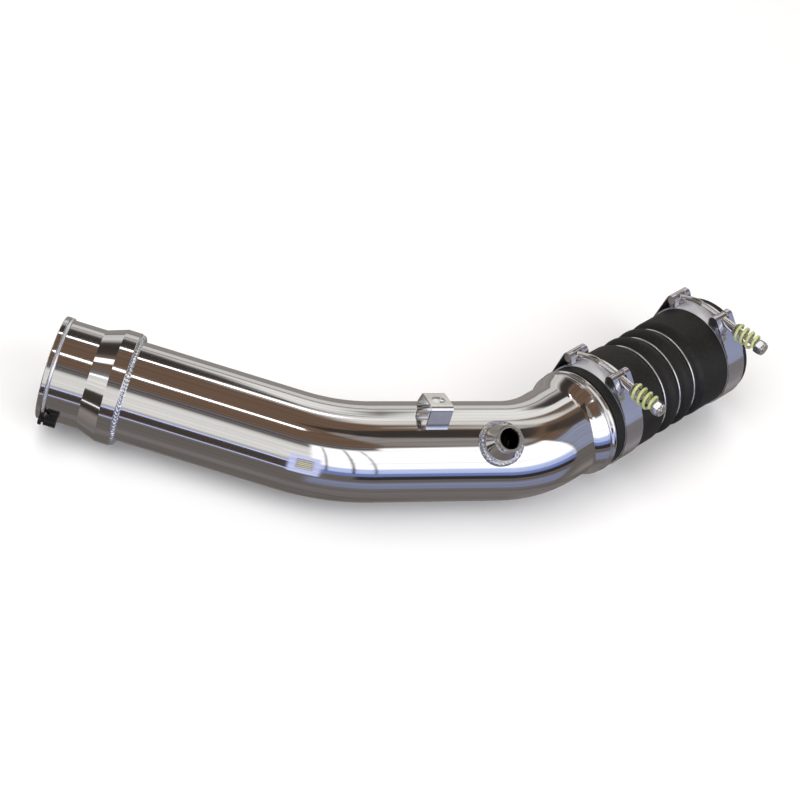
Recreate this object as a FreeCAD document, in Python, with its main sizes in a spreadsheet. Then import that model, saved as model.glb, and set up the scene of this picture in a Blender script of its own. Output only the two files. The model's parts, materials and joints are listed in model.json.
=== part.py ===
import FreeCAD, Part
import math
import os
import re
import Sketcher

# Charge-air pipe: a bent aluminium tube with a quick-fit socket at one end
# and a convoluted silicone coupler with two spring-loaded T-bolt clamps at the other.
# Frame: origin at the centre of the socket mouth, X along the first leg into the pipe,
# Z square to the plane that holds both bends. Millimetres and degrees.

SIZES = {
    # Tube
    "pipe_diameter": 88.9,
    "pipe_wall": 1.65,
    "leg_one": 251.5,
    "leg_two": 182.1,
    "leg_three": 256.4,
    "bend_one": 22.7,
    "bend_two": 30.2,
    "bend_one_radius": 183.0,
    "bend_two_radius": 99.0,
    # Formed double bead, just outside the coupler
    "bead_length": 23.0,
    "bead_gap": 0.4,
    "first_ridge_height": 5.1,
    "second_ridge_height": 5.9,
    "ridge_spacing": 6.6,
    "ridge_width": 3.8,
    "ridge_round": 2.6,
    "ridge_groove_depth": 1.9,
    # Turned socket collar
    "socket_diameter": 82.6,
    "socket_chamfer": 0.6,
    "neck_wall": 3.15,
    "neck_length": 29.0,
    "rim_height": 1.55,
    "rim_width": 4.6,
    "rim_chamfer": 0.8,
    "clip_wire": 2.8,
    "clip_side_gap": 0.1,
    "clip_groove_depth": 1.25,
    "cone_length": 17.4,
    "shoulder_wall": 6.05,
    "shoulder_length": 12.6,
    "shoulder_chamfer": 0.6,
    "pipe_seat_setback": 2.0,
    "joint_clearance": 0.05,
    "seal_position": 17.0,
    "seal_width": 2.8,
    "seal_side_gap": 0.2,
    "seal_gland_depth": 1.6,
    # Weld between collar and tube
    "weld_run": 4.2,
    "weld_rise": 5.4,
    "weld_round": 8.0,
    # Retaining ring and its latch peg
    "clip_angle": 106.0,
    "clip_opening": 10.0,
    "peg_diameter": 9.4,
    "peg_length": 10.2,
    "peg_neck_diameter": 5.2,
    "peg_neck_length": 2.0,
    "peg_head_diameter": 10.6,
    "peg_head_side_gap": 0.1,
    "peg_lift": 0.55,
    "peg_foot_width": 5.6,
    "peg_foot_length": 8.0,
    # Sensor bung on the second leg
    "bung_position": 143.0,
    "bung_angle": 29.5,
    "bung_bore": 17.8,
    "bung_ledge": 1.4,
    "bung_floor": 1.5,
    "bung_face_diameter": 24.5,
    "bung_foot_diameter": 33.0,
    "bung_height": 22.5,
    "bung_straight": 7.0,
    "bung_foot_height": 4.0,
    "bung_chamfer": 0.7,
    "bung_weld_width": 4.8,
    "bung_weld_height": 3.0,
    # Bracket on the second leg
    "bracket_position": 84.5,
    "bracket_width": 20.0,
    "bracket_sheet": 2.0,
    "bracket_plate": 28.0,
    "bracket_plate_tilt": 24.5,
    "bracket_front": 7.0,
    "bracket_height": 24.15,
    "bracket_back_lean": 14.0,
    "bracket_front_lean": 5.0,
    "bracket_bend": 3.0,
    "bracket_hole": 12.5,
    # Silicone coupler
    "pipe_cuff": 71.1,
    "free_cuff": 73.1,
    "boot_wall": 4.5,
    "boot_edge": 0.8,
    "spigot_setback": 3.7,
    "valley_pitch": 20.8,
    "valley_depth": 5.5,
    "valley_round": 4.0,
    "ring_wire": 1.7,
    # T-bolt clamps
    "pipe_clamp_inset": 21.4,
    "free_clamp_inset": 18.0,
    "clamp_tilt": 7.5,
    "band_width": 23.0,
    "band_thickness": 0.7,
    "band_tail": 5.0,
    "fold_gap": 0.15,
    "liner_thickness": 0.5,
    "fit_gap": 0.12,
    "leg_lean": 24.0,
    "leg_round": 1.2,
    "bolt_height": 4.4,
    "bolt_diameter": 6.35,
    "bolt_projection": 0.6,
    "bolt_chamfer": 0.8,
    "bolt_bend": 14.8,
    "bolt_bend_radius": 30.0,
    "pin_diameter": 9.2,
    "pin_length": 22.0,
    "pin_clearance": 0.1,
    "head_reach": 35.6,
    "head_lift": 0.8,
    "trunnion_reach": 15.0,
    "trunnion_flat": 3.2,
    "hole_clearance": 0.3,
    "sleeve_diameter": 8.8,
    "sleeve_length": 15.6,
    "slot_side_gap": 1.25,
    "slot_floor_gap": 0.2,
    "washer_diameter": 13.0,
    "washer_thickness": 1.0,
    "spring_diameter": 17.0,
    "spring_wire": 2.8,
    "spring_length": 25.6,
    "spring_turns": 3.5,
    "nut_across_flats": 12.2,
    "nut_thickness": 5.6,
    "nut_collar_diameter": 11.8,
    "nut_collar_length": 2.0,
}

# Values that follow from the sizes
DERIVED = {
    "pipe_radius": "pipe_diameter / 2",
    "bore_radius": "pipe_radius - pipe_wall",
    "both_bends": "bend_one + bend_two",
    "tangent_one": "bend_one_radius * tan(bend_one / 2)",
    "tangent_two": "bend_two_radius * tan(bend_two / 2)",
    "second_corner_x": "leg_one + leg_two * cos(bend_one)",
    "second_corner_y": "leg_two * sin(bend_one)",
    "mouth_x": "second_corner_x + leg_three * cos(both_bends)",
    "mouth_y": "second_corner_y + leg_three * sin(both_bends)",
    "clip_centre": "rim_width + clip_side_gap + clip_wire / 2",
    "clip_groove_end": "clip_centre + clip_wire / 2 + clip_side_gap",
    "neck_end": "clip_groove_end + neck_length",
    "cone_end": "neck_end + cone_length",
    "collar_end": "cone_end + shoulder_length",
    "pipe_start": "cone_end + pipe_seat_setback",
    "socket_radius": "socket_diameter / 2",
    "neck_radius": "socket_radius + neck_wall",
    "rim_radius": "neck_radius + rim_height",
    "shoulder_radius": "pipe_radius + shoulder_wall",
    "clip_seat_radius": "neck_radius - clip_groove_depth",
    "gland_radius": "socket_radius + seal_gland_depth",
    "gland_end": "seal_position + seal_width + 2 * seal_side_gap",
    "seal_round": "seal_gland_depth / 2",
    "peg_radius": "peg_diameter / 2",
    "peg_height": "neck_radius + peg_lift + peg_radius",
    "peg_head_start": "rim_width + peg_head_side_gap",
    "peg_head_end": "clip_groove_end - peg_head_side_gap",
    "peg_neck_end": "peg_head_end + peg_neck_length",
    "peg_end": "peg_neck_end + peg_length",
    "bung_top": "pipe_radius + bung_height",
    "bung_step": "pipe_radius + bung_floor",
    "bung_throat": "bung_bore / 2 - bung_ledge",
    "bung_face_radius": "bung_face_diameter / 2",
    "bung_foot_radius": "bung_foot_diameter / 2",
    "bracket_crest": "pipe_radius + bracket_height",
    "boot_radius": "pipe_radius + boot_wall",
    "last_valley": "-free_cuff - 2 * valley_pitch",
    "boot_start": "last_valley - pipe_cuff",
    "bead_end": "boot_start - bead_gap",
    "bead_start": "bead_end - bead_length",
    "second_ridge": "bead_end - ridge_width",
    "first_ridge": "second_ridge - ridge_spacing",
    "first_ridge_radius": "pipe_radius + first_ridge_height",
    "second_ridge_radius": "pipe_radius + second_ridge_height",
    "ridge_sag": "ridge_round - sqrt(ridge_round ^ 2 - (ridge_width / 2) ^ 2)",
    "pipe_end": "last_valley - half_pitch - spigot_setback",
    "half_pitch": "valley_pitch / 2",
    "round_sum": "(half_pitch ^ 2 + valley_depth ^ 2) / (2 * valley_depth)",
    "hump_round": "round_sum - valley_round",
    "valley_sine": "half_pitch / round_sum",
    "valley_cosine": "1 - valley_depth / round_sum",
    "valley_floor": "boot_radius - valley_depth",
    "liner_inner": "boot_radius + fit_gap",
    "liner_outer": "liner_inner + liner_thickness",
    "band_radius": "liner_outer + fit_gap + band_thickness / 2",
    "tail_radius": "band_radius + band_thickness + fold_gap",
    "bolt_offset": "liner_outer + bolt_height",
    "pin_radius": "pin_diameter / 2",
    "loop_radius": "pin_radius + pin_clearance + band_thickness / 2",
    "pin_distance": "sqrt(trunnion_reach ^ 2 + bolt_offset ^ 2)",
    "head_distance": "pin_distance + head_lift",
    "head_offset": "sqrt(head_distance ^ 2 - head_reach ^ 2)",
    "head_drop": "bolt_offset - head_offset",
    "bend_slope": "atan(head_drop / (head_reach - bolt_bend))",
    "bend_tangent": "bolt_bend_radius * tan(bend_slope / 2)",
    "slot_width": "sleeve_diameter + 2 * slot_side_gap",
    "slot_floor": "bolt_offset - sleeve_diameter / 2 - slot_floor_gap",
    "slot_reach": "2 * (pin_diameter + band_thickness)",
    "sleeve_start": "trunnion_reach + trunnion_flat",
    "first_washer": "sleeve_start + sleeve_length",
    "spring_start": "first_washer + washer_thickness",
    "second_washer": "spring_start + spring_length",
    "nut_start": "second_washer + washer_thickness",
    "nut_collar_start": "nut_start + nut_thickness",
    "bolt_end": "nut_collar_start + nut_collar_length + bolt_projection",
    "bolt_hole": "bolt_diameter + hole_clearance",
}

ORIGIN = "placement(vector(0; 0; 0); rotation(vector(0; 0; 1); 0))"
LEG_TWO = "placement(vector(leg_one; 0; 0); rotation(vector(0; 0; 1); bend_one))"
LEG_THREE = "placement(vector(mouth_x; mouth_y; 0); rotation(vector(0; 0; 1); both_bends))"
ALONG_X = "rotation(vector(0; 1; 0); 90)"
ALONG_BOLT = "rotation(vector(1; 0; 0); 90)"
UPRIGHT = "rotation(vector(0; 0; 1); 0)"
HEX_TURN = "rotation(vector(0; 0; 1); 30)"

doc = FreeCAD.newDocument("charge_pipe")
nodes = []


def fill_sheet():
    """Put every size in the sheet as a plain number with its own alias."""
    cells = doc.addObject("Spreadsheet::Sheet", "sizes")
    for row, (name, size) in enumerate(SIZES.items(), 1):
        cells.set("A%d" % row, name)
        cells.set("B%d" % row, str(size))
        cells.setAlias("B%d" % row, name)
    doc.recompute()
    return cells


sheet = fill_sheet()


def expand(text):
    """Turn plain names into references to the sheet."""
    def word(match):
        name = match.group(0)
        if name in SIZES:
            return "sizes." + name
        if name in DERIVED:
            return "(" + expand(DERIVED[name]) + ")"
        return name
    return re.sub(r"[a-z][a-z_]*", word, text)


def value(text):
    """The number that an expression gives now."""
    result = sheet.evalExpression(expand(text))
    return float(getattr(result, "Value", result))


def bind(item, prop, text):
    """Tie a property to an expression."""
    item.setExpression(prop, expand(text))


def spot(x, y, z, turn=UPRIGHT):
    """A placement, as an expression."""
    return "placement(vector(%s; %s; %s); %s)" % (x, y, z, turn)


def finish(item, name, frame=ORIGIN):
    """Name a finished piece and put it in its place."""
    item.Label = name
    bind(item, "Placement", frame)
    nodes.append(item)
    return item


# Sketches

def origin_plane(body, role):
    return [item for item in body.Origin.OriginFeatures if item.Role == role][0]


def sketch_in(body, role, name, offset=None):
    """A sketch on one of the body's origin planes."""
    sketch = body.newObject("Sketcher::SketchObject", name)
    sketch.AttachmentSupport = (origin_plane(body, role), [""])
    sketch.MapMode = "FlatFace"
    if offset:
        bind(sketch, "AttachmentOffset", offset)
    doc.recompute()
    return sketch


def free_sketch(name, frame):
    """A sketch outside any body."""
    sketch = doc.addObject("Sketcher::SketchObject", name)
    bind(sketch, "Placement", frame)
    doc.recompute()
    return sketch


def constrain(sketch, kind, refs, text):
    """Add a dimension and tie it to an expression."""
    index = sketch.addConstraint(Sketcher.Constraint(kind, *refs, value(text)))
    label = "%s_%d" % (kind.lower(), index)
    sketch.renameConstraint(index, label)
    bind(sketch, "Constraints." + label, text)


def fix_point(sketch, geometry, end, x, y):
    """Hold one vertex by its distances from the sketch's origin."""
    for kind, text, axis in (("DistanceX", x, -2), ("DistanceY", y, -1)):
        if text == "0":
            sketch.addConstraint(Sketcher.Constraint("PointOnObject", geometry, end, axis))
        else:
            constrain(sketch, kind, (-1, 1, geometry, end), text)


def arc_between(start, end, radius, turn, major):
    """Arc from start to end; turn is 1 to the left and -1 to the right."""
    chord = end - start
    left = FreeCAD.Vector(-chord.y, chord.x, 0) / chord.Length
    height = math.sqrt(max(radius ** 2 - chord.Length ** 2 / 4, 0))
    side = -turn if major else turn
    centre = (start + end) / 2 + left * side * height
    first, last = (start, end) if turn > 0 else (end, start)
    angles = [math.atan2(p.y - centre.y, p.x - centre.x) for p in (first, last)]
    if angles[1] < angles[0]:
        angles[1] += 2 * math.pi
    return Part.ArcOfCircle(Part.Circle(centre, FreeCAD.Vector(0, 0, 1), radius), *angles)


def chain(sketch, corners, arcs=None, closed=True):
    """Lines through the corners; arcs gives (radius, turn, major) for the sides that are round."""
    arcs = arcs or {}
    points = [FreeCAD.Vector(value(x), value(y), 0) for x, y in corners]
    count = len(points) if closed else len(points) - 1
    ends = []
    for side in range(count):
        start = points[side]
        stop = points[(side + 1) % len(points)]
        if side in arcs:
            radius, turn, major = arcs[side]
            shape = arc_between(start, stop, value(radius), turn, major)
            ends.append((1, 2) if turn > 0 else (2, 1))
        else:
            shape = Part.LineSegment(start, stop)
            ends.append((1, 2))
        sketch.addGeometry(shape)
    for side in range(count if closed else count - 1):
        follower = (side + 1) % count
        joint = Sketcher.Constraint("Coincident", side, ends[side][1], follower, ends[follower][0])
        sketch.addConstraint(joint)
    for side in range(count):
        fix_point(sketch, side, ends[side][0], *corners[side])
    if not closed:
        fix_point(sketch, count - 1, ends[-1][1], *corners[-1])
    for side, (radius, turn, major) in arcs.items():
        constrain(sketch, "Radius", (side,), radius)
    doc.recompute()
    return sketch


def circles(sketch, *radii):
    """Circles about the sketch's origin."""
    for index, radius in enumerate(radii):
        circle = Part.Circle(FreeCAD.Vector(), FreeCAD.Vector(0, 0, 1), value(radius))
        sketch.addGeometry(circle)
        sketch.addConstraint(Sketcher.Constraint("Coincident", index, 3, -1, 1))
        constrain(sketch, "Radius", (index,), radius)
    doc.recompute()
    return sketch


# Features

def new_body(name):
    return doc.addObject("PartDesign::Body", name + "_body")


def revolve(body, sketch, axis="H_Axis", kind="Revolution"):
    """A full turn about one of the sketch's axes; kind is Revolution or Groove."""
    feature = body.newObject("PartDesign::" + kind, kind.lower() + "_" + sketch.Name)
    feature.Profile = sketch
    feature.ReferenceAxis = (sketch, [axis])
    feature.Angle = 360.0
    doc.recompute()
    return feature


def extrude(body, sketch, length, kind="Pad", symmetric=False, reverse=False):
    """A pad or a pocket of a sketch."""
    feature = body.newObject("PartDesign::" + kind, kind.lower() + "_" + sketch.Name)
    feature.Profile = sketch
    feature.SideType = "Symmetric" if symmetric else "One side"
    feature.Reversed = reverse
    bind(feature, "Length", length)
    doc.recompute()
    return feature


def turned(name, corners, arcs=None, frame=ORIGIN):
    """A turned piece: its outline in XY, revolved about X."""
    body = new_body(name)
    sketch = chain(sketch_in(body, "XY_Plane", name + "_outline"), corners, arcs)
    revolve(body, sketch)
    return finish(body, name, frame)


def primitive(kind, name, frame, **sizes):
    """A Part primitive with its sizes and place bound."""
    item = doc.addObject("Part::" + kind, name)
    for prop, text in sizes.items():
        bind(item, prop, text)
    bind(item, "Placement", frame)
    return item


def boolean(kind, name, base, tool):
    """Cut, Fuse or Common of two objects."""
    item = doc.addObject("Part::" + kind, name)
    item.Base = base
    item.Tool = tool
    doc.recompute()
    return item


def tube(name, outer, inner, length, frame):
    """A hollow cylinder along the local Z of a frame."""
    skin = primitive("Cylinder", name + "_skin", frame, Radius=outer, Height=length)
    core = primitive("Cylinder", name + "_core", frame, Radius=inner, Height=length)
    return boolean("Cut", name + "_tube", skin, core)


def sweep(name, section, spine, edges, frenet=False):
    """A solid swept along a spine's edges."""
    item = doc.addObject("Part::Sweep", name)
    item.Sections = [section]
    item.Spine = (spine, ["Edge%d" % (number + 1) for number in range(edges)])
    item.Solid = True
    item.Frenet = frenet
    doc.recompute()
    return item


def strip_section(name, width, thickness, frame):
    """The rectangle that a strip of sheet metal shows at its cut end."""
    w, t = "%s / 2" % width, "%s / 2" % thickness
    corners = [("-" + w, "-" + t), (w, "-" + t), (w, t), ("-" + w, t)]
    return chain(free_sketch(name, frame), corners)


# Tube

def make_pipe():
    """Two-bend tube with its formed double bead and a hole under the bung's bore."""
    body = new_body("pipe")
    arm_one = ("cos(bend_one)", "sin(bend_one)")
    arm_two = ("cos(both_bends)", "sin(both_bends)")
    corners = [
        ("pipe_start", "0"),
        ("leg_one - tangent_one", "0"),
        ("leg_one + tangent_one * %s" % arm_one[0], "tangent_one * %s" % arm_one[1]),
        ("second_corner_x - tangent_two * %s" % arm_one[0],
         "second_corner_y - tangent_two * %s" % arm_one[1]),
        ("second_corner_x + tangent_two * %s" % arm_two[0],
         "second_corner_y + tangent_two * %s" % arm_two[1]),
        ("mouth_x + pipe_end * %s" % arm_two[0], "mouth_y + pipe_end * %s" % arm_two[1]),
    ]
    arcs = {1: ("bend_one_radius", 1, False), 3: ("bend_two_radius", 1, False)}
    path = chain(sketch_in(body, "XY_Plane", "pipe_path"), corners, arcs, closed=False)
    start = spot("0", "0", "pipe_start")
    section = circles(sketch_in(body, "YZ_Plane", "pipe_section", start), "pipe_radius",
                      "bore_radius")
    run = body.newObject("PartDesign::AdditivePipe", "pipe_run")
    run.Profile = section
    run.Spine = (path, ["Edge%d" % (number + 1) for number in range(len(corners) - 1)])
    doc.recompute()
    revolve(body, chain(sketch_in(body, "XY_Plane", "bead", LEG_THREE), *bead_outside()))
    revolve(body, chain(sketch_in(body, "XY_Plane", "bead_inside", LEG_THREE), bead_inside()),
            kind="Groove")
    across = spot("bung_position", "0", "0", "rotation(vector(1; 0; 0); bung_angle)")
    hole = circles(sketch_in(body, "XY_Plane", "bung_hole", LEG_TWO + " * " + across),
                   "bung_throat")
    extrude(body, hole, "pipe_radius + bung_height", "Pocket", reverse=True)
    finish(body, "pipe")


def bead_outside():
    """Outline of the double bead: flare, two round ridges and the groove between them."""
    half = "ridge_width / 2"
    first_side = "first_ridge_radius - ridge_sag"
    second_side = "second_ridge_radius - ridge_sag"
    inside = "pipe_radius - pipe_wall / 2"
    corners = [
        ("bead_start", inside),
        ("bead_end", inside),
        ("bead_end", "pipe_radius"),
        ("second_ridge + " + half, second_side),
        ("second_ridge - " + half, second_side),
        ("(first_ridge + second_ridge) / 2", "first_ridge_radius - ridge_groove_depth"),
        ("first_ridge + " + half, first_side),
        ("first_ridge - " + half, first_side),
        ("bead_start", "pipe_radius"),
    ]
    arcs = {3: ("ridge_round", 1, False), 6: ("ridge_round", 1, False)}
    return corners, arcs


def bead_inside():
    """The hollow that the formed bead leaves in the bore."""
    hollow = "first_ridge_radius - ridge_groove_depth - pipe_wall"
    return [
        ("bead_start + pipe_wall / 2", "bore_radius - pipe_wall"),
        ("bead_end - pipe_wall", "bore_radius - pipe_wall"),
        ("bead_end - pipe_wall", "bore_radius"),
        ("second_ridge + ridge_width / 2", hollow),
        ("first_ridge", hollow),
        ("bead_start + pipe_wall / 2", "bore_radius"),
    ]


# Socket end

def make_collar():
    """Turned socket: rim, clip groove, neck, cone and the shoulder that takes the tube."""
    corners = [
        ("socket_chamfer", "socket_radius"),
        ("seal_position", "socket_radius"),
        ("seal_position", "gland_radius"),
        ("gland_end", "gland_radius"),
        ("gland_end", "socket_radius"),
        ("neck_end", "socket_radius"),
        ("pipe_start", "bore_radius"),
        ("pipe_start", "pipe_radius + joint_clearance"),
        ("collar_end", "pipe_radius + joint_clearance"),
        ("collar_end", "shoulder_radius - shoulder_chamfer"),
        ("collar_end - shoulder_chamfer", "shoulder_radius"),
        ("cone_end", "shoulder_radius"),
        ("neck_end", "neck_radius"),
        ("clip_groove_end", "neck_radius"),
        ("clip_groove_end", "clip_seat_radius"),
        ("rim_width", "clip_seat_radius"),
        ("rim_width", "rim_radius"),
        ("rim_chamfer", "rim_radius"),
        ("0", "rim_radius - rim_chamfer"),
        ("0", "socket_radius + socket_chamfer"),
    ]
    turned("collar", corners)


def make_collar_weld():
    """Fillet weld between the shoulder's end face and the tube."""
    corners = [
        ("collar_end", "pipe_radius"),
        ("collar_end + weld_run", "pipe_radius"),
        ("collar_end", "pipe_radius + weld_rise"),
    ]
    turned("collar_weld", corners, {1: ("weld_round", 1, False)})


def make_seal():
    """O-ring in the socket's gland, in the flattened shape it has when the joint is made."""
    low = "socket_radius + joint_clearance"
    near = "seal_position + seal_side_gap + seal_round"
    far = "gland_end - seal_side_gap - seal_round"
    corners = [(near, low), (far, low), (far, "gland_radius"), (near, "gland_radius")]
    turned("collar_seal", corners, {1: ("seal_round", 1, False), 3: ("seal_round", 1, False)})


def make_retaining_ring():
    """Open wire ring in the clip groove; its ends meet under the latch peg."""
    centre_line = "clip_seat_radius + clip_wire / 2"
    arc = primitive("Circle", "ring_line", ORIGIN, Radius=centre_line,
                    Angle1="clip_opening / 2", Angle2="360 - clip_opening / 2")
    start = "placement(vector(0; 0; 0); rotation(vector(0; 0; 1); clip_opening / 2))"
    section = primitive("Circle", "ring_section",
                        start + " * " + spot(centre_line, "0", "0", ALONG_BOLT),
                        Radius="clip_wire / 2")
    doc.recompute()
    ring = sweep("ring_sweep", section, arc, 1)
    turn = "rotation(vector(1; 0; 0); clip_angle - 180) * rotation(vector(0; 1; 0); 90)"
    finish(ring, "retaining_ring", spot("clip_centre", "0", "0", turn))


def make_latch_peg():
    """Moulded peg: its head sits in the ring's opening, its drum stands on a foot on the neck."""
    body = new_body("latch_peg")
    axis = spot("0", "peg_height", "0")
    corners = [
        ("peg_head_start", "0"),
        ("peg_end", "0"),
        ("peg_end", "peg_radius"),
        ("peg_neck_end", "peg_radius"),
        ("peg_neck_end", "peg_neck_diameter / 2"),
        ("peg_head_end", "peg_neck_diameter / 2"),
        ("peg_head_end", "peg_head_diameter / 2"),
        ("peg_head_start", "peg_head_diameter / 2"),
    ]
    revolve(body, chain(sketch_in(body, "XZ_Plane", "peg_outline", axis), corners))
    half = "peg_foot_width / 2"
    seat = "sqrt(neck_radius ^ 2 - (%s) ^ 2)" % half
    foot = [("-" + half, seat), (half, seat), (half, "peg_height"), ("-" + half, "peg_height")]
    offset = spot("0", "0", "peg_end - peg_foot_length")
    sketch = chain(sketch_in(body, "YZ_Plane", "peg_foot", offset), foot,
                   {0: ("neck_radius", -1, False)})
    extrude(body, sketch, "peg_foot_length")
    finish(body, "latch_peg", "placement(vector(0; 0; 0); rotation(vector(1; 0; 0); clip_angle))")


# Fittings on the second leg

BUNG_FRAME = LEG_TWO + " * " + spot("bung_position", "0", "0",
                                    "rotation(vector(1; 0; 0); bung_angle)")


def make_bung():
    """Sensor bung with a conical foot and a stepped bore, cut to sit on the tube."""
    body = new_body("sensor_bung")
    bore = "bung_bore / 2"
    low = "sqrt(pipe_radius ^ 2 - bung_foot_radius ^ 2) - bung_chamfer"
    corners = [
        ("bung_throat", low),
        ("bung_foot_radius", low),
        ("bung_foot_radius", "pipe_radius + bung_foot_height"),
        ("bung_face_radius", "bung_top - bung_straight"),
        ("bung_face_radius", "bung_top - bung_chamfer"),
        ("bung_face_radius - bung_chamfer", "bung_top"),
        (bore + " + bung_chamfer", "bung_top"),
        (bore, "bung_top - bung_chamfer"),
        (bore, "bung_step"),
        ("bung_throat", "bung_step"),
    ]
    sketch = chain(sketch_in(body, "XZ_Plane", "bung_outline"), corners)
    blank = revolve(body, sketch, "V_Axis")
    before = blank.Shape.Volume
    saddle = circles(sketch_in(body, "YZ_Plane", "bung_saddle"), "pipe_radius")
    seat = extrude(body, saddle, "2 * bung_foot_diameter", "Pocket", symmetric=True)
    assert seat.Shape.Volume < before
    finish(body, "sensor_bung", BUNG_FRAME)


def make_bung_weld():
    """Saddle-shaped bead round the bung's foot."""
    outside = "bung_foot_radius + bung_weld_width"
    low = spot("0", "0", "pipe_radius / 2")
    column = tube("bung_weld_column", outside, "bung_foot_radius", "pipe_radius", low)
    along = spot("-bung_foot_diameter", "0", "0", ALONG_X)
    skin = tube("bung_weld_skin", "pipe_radius + bung_weld_height", "pipe_radius",
                "2 * bung_foot_diameter", along)
    bead = boolean("Common", "bung_weld_common", column, skin)
    finish(bead, "bung_weld", BUNG_FRAME)


def make_bracket():
    """Folded strip: leaning back leg, tilted plate with its hole, front leg; feet cut to the tube."""
    plate = "bracket_plate"
    back_x = "bracket_front - %s * cos(bracket_plate_tilt)" % plate
    back_y = "bracket_crest - %s * sin(bracket_plate_tilt)" % plate
    back_turn = "(90 - bracket_back_lean - bracket_plate_tilt) / 2"
    front_turn = "(90 + bracket_plate_tilt - bracket_front_lean) / 2"
    back_cut = "bracket_bend * tan(%s)" % back_turn
    front_cut = "bracket_bend * tan(%s)" % front_turn
    reach = "bracket_crest - pipe_radius + bracket_sheet"
    plate_way = ("cos(bracket_plate_tilt)", "sin(bracket_plate_tilt)")
    back_way = ("sin(bracket_back_lean)", "cos(bracket_back_lean)")
    front_way = ("sin(bracket_front_lean)", "cos(bracket_front_lean)")
    corners = [
        ("%s - (%s) * %s" % (back_x, reach, back_way[0]),
         "%s - (%s) * %s" % (back_y, reach, back_way[1])),
        ("%s - %s * %s" % (back_x, back_cut, back_way[0]),
         "%s - %s * %s" % (back_y, back_cut, back_way[1])),
        ("%s + %s * %s" % (back_x, back_cut, plate_way[0]),
         "%s + %s * %s" % (back_y, back_cut, plate_way[1])),
        ("bracket_front - %s * %s" % (front_cut, plate_way[0]),
         "bracket_crest - %s * %s" % (front_cut, plate_way[1])),
        ("bracket_front + %s * %s" % (front_cut, front_way[0]),
         "bracket_crest - %s * %s" % (front_cut, front_way[1])),
        ("bracket_front + (%s) * %s" % (reach, front_way[0]),
         "bracket_crest - (%s) * %s" % (reach, front_way[1])),
    ]
    face_on = "rotation(vector(0; 0; 1); -90) * rotation(vector(1; 0; 0); 90)"
    arcs = {1: ("bracket_bend", -1, False), 3: ("bracket_bend", -1, False)}
    spine = chain(free_sketch("bracket_line", spot("0", "0", "0", face_on)), corners, arcs,
                  closed=False)
    start = spot("0", "-(%s)" % corners[0][0], corners[0][1],
                 "rotation(vector(1; 0; 0); 180 - bracket_back_lean)")
    section = strip_section("bracket_section", "bracket_width", "bracket_sheet", start)
    strip = sweep("bracket_strip", section, spine, len(corners) - 1)
    along = spot("-bracket_width", "0", "0", ALONG_X)
    saddle = primitive("Cylinder", "bracket_saddle", along, Radius="pipe_radius",
                       Height="2 * bracket_width")
    seated = boolean("Cut", "bracket_seated", strip, saddle)
    middle_x = "(%s + bracket_front) / 2" % back_x
    middle_y = "(%s + bracket_crest) / 2" % back_y
    drill_frame = spot("0", "-(%s)" % middle_x, middle_y,
                       "rotation(vector(1; 0; 0); -bracket_plate_tilt)")
    drill = primitive("Cylinder", "bracket_drill", drill_frame + " * " + spot("0", "0", "-bracket_bend"),
                      Radius="bracket_hole / 2", Height="2 * bracket_bend")
    bracket = boolean("Cut", "bracket_drilled", seated, drill)
    finish(bracket, "bracket", LEG_TWO + " * " + spot("bracket_position", "0", "0"))


# Coupler

def valley_points(centre, wall):
    """The two corners where a valley's arc meets its humps, on the skin offset inwards by wall."""
    radius = "(valley_round + %s)" % wall
    x = "%s * valley_sine" % radius
    y = "valley_floor + valley_round - %s * valley_cosine" % radius
    return ("%s - %s" % (centre, x), y), ("%s + %s" % (centre, x), y)


def boot_skin(wall):
    """Corners and arcs of one skin of the coupler, from its start to its free mouth."""
    level = "boot_radius - %s" % wall
    corners = [("last_valley - half_pitch", level)]
    for number in range(3):
        centre = "last_valley + %d * valley_pitch" % number
        corners.extend(valley_points(centre, wall))
    corners.append(("-free_cuff + half_pitch", level))
    return corners


def make_boot():
    """Moulded hose: two plain cuffs and three convolutions of even wall."""
    outer = boot_skin("0")
    inner = boot_skin("boot_wall")
    edge = "boot_edge"
    corners = [("boot_start", "pipe_radius"), ("boot_start", "boot_radius - " + edge),
               ("boot_start + " + edge, "boot_radius")]
    first_outer = len(corners)
    corners += outer
    corners += [("-" + edge, "boot_radius"), ("0", "boot_radius - " + edge), ("0", "pipe_radius")]
    first_inner = len(corners)
    corners += inner[::-1]
    arcs = {}
    for number in range(len(outer) - 1):
        valley = number % 2 == 1
        arcs[first_outer + number] = ("valley_round", 1, False) if valley else ("hump_round", -1, False)
        arcs[first_inner + number] = (("valley_round + boot_wall", -1, False) if valley
                                      else ("hump_round - boot_wall", 1, False))
    turned("coupler_boot", corners, arcs, LEG_THREE)


def make_valley_rings():
    """Steel wire rings, one in each valley of the coupler."""
    for number, name in enumerate(("valley_ring_a", "valley_ring_b", "valley_ring_c")):
        ring = primitive("Torus", name + "_torus", ORIGIN, Radius1="valley_floor + ring_wire / 2",
                         Radius2="ring_wire / 2")
        place = spot("last_valley + %d * valley_pitch" % number, "0", "0", ALONG_X)
        finish(ring, name, LEG_THREE + " * " + place)


# T-bolt clamps
# In a clamp's own frame X is the hose's axis, Z points at the bolt and the bolt runs along -Y.

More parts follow.
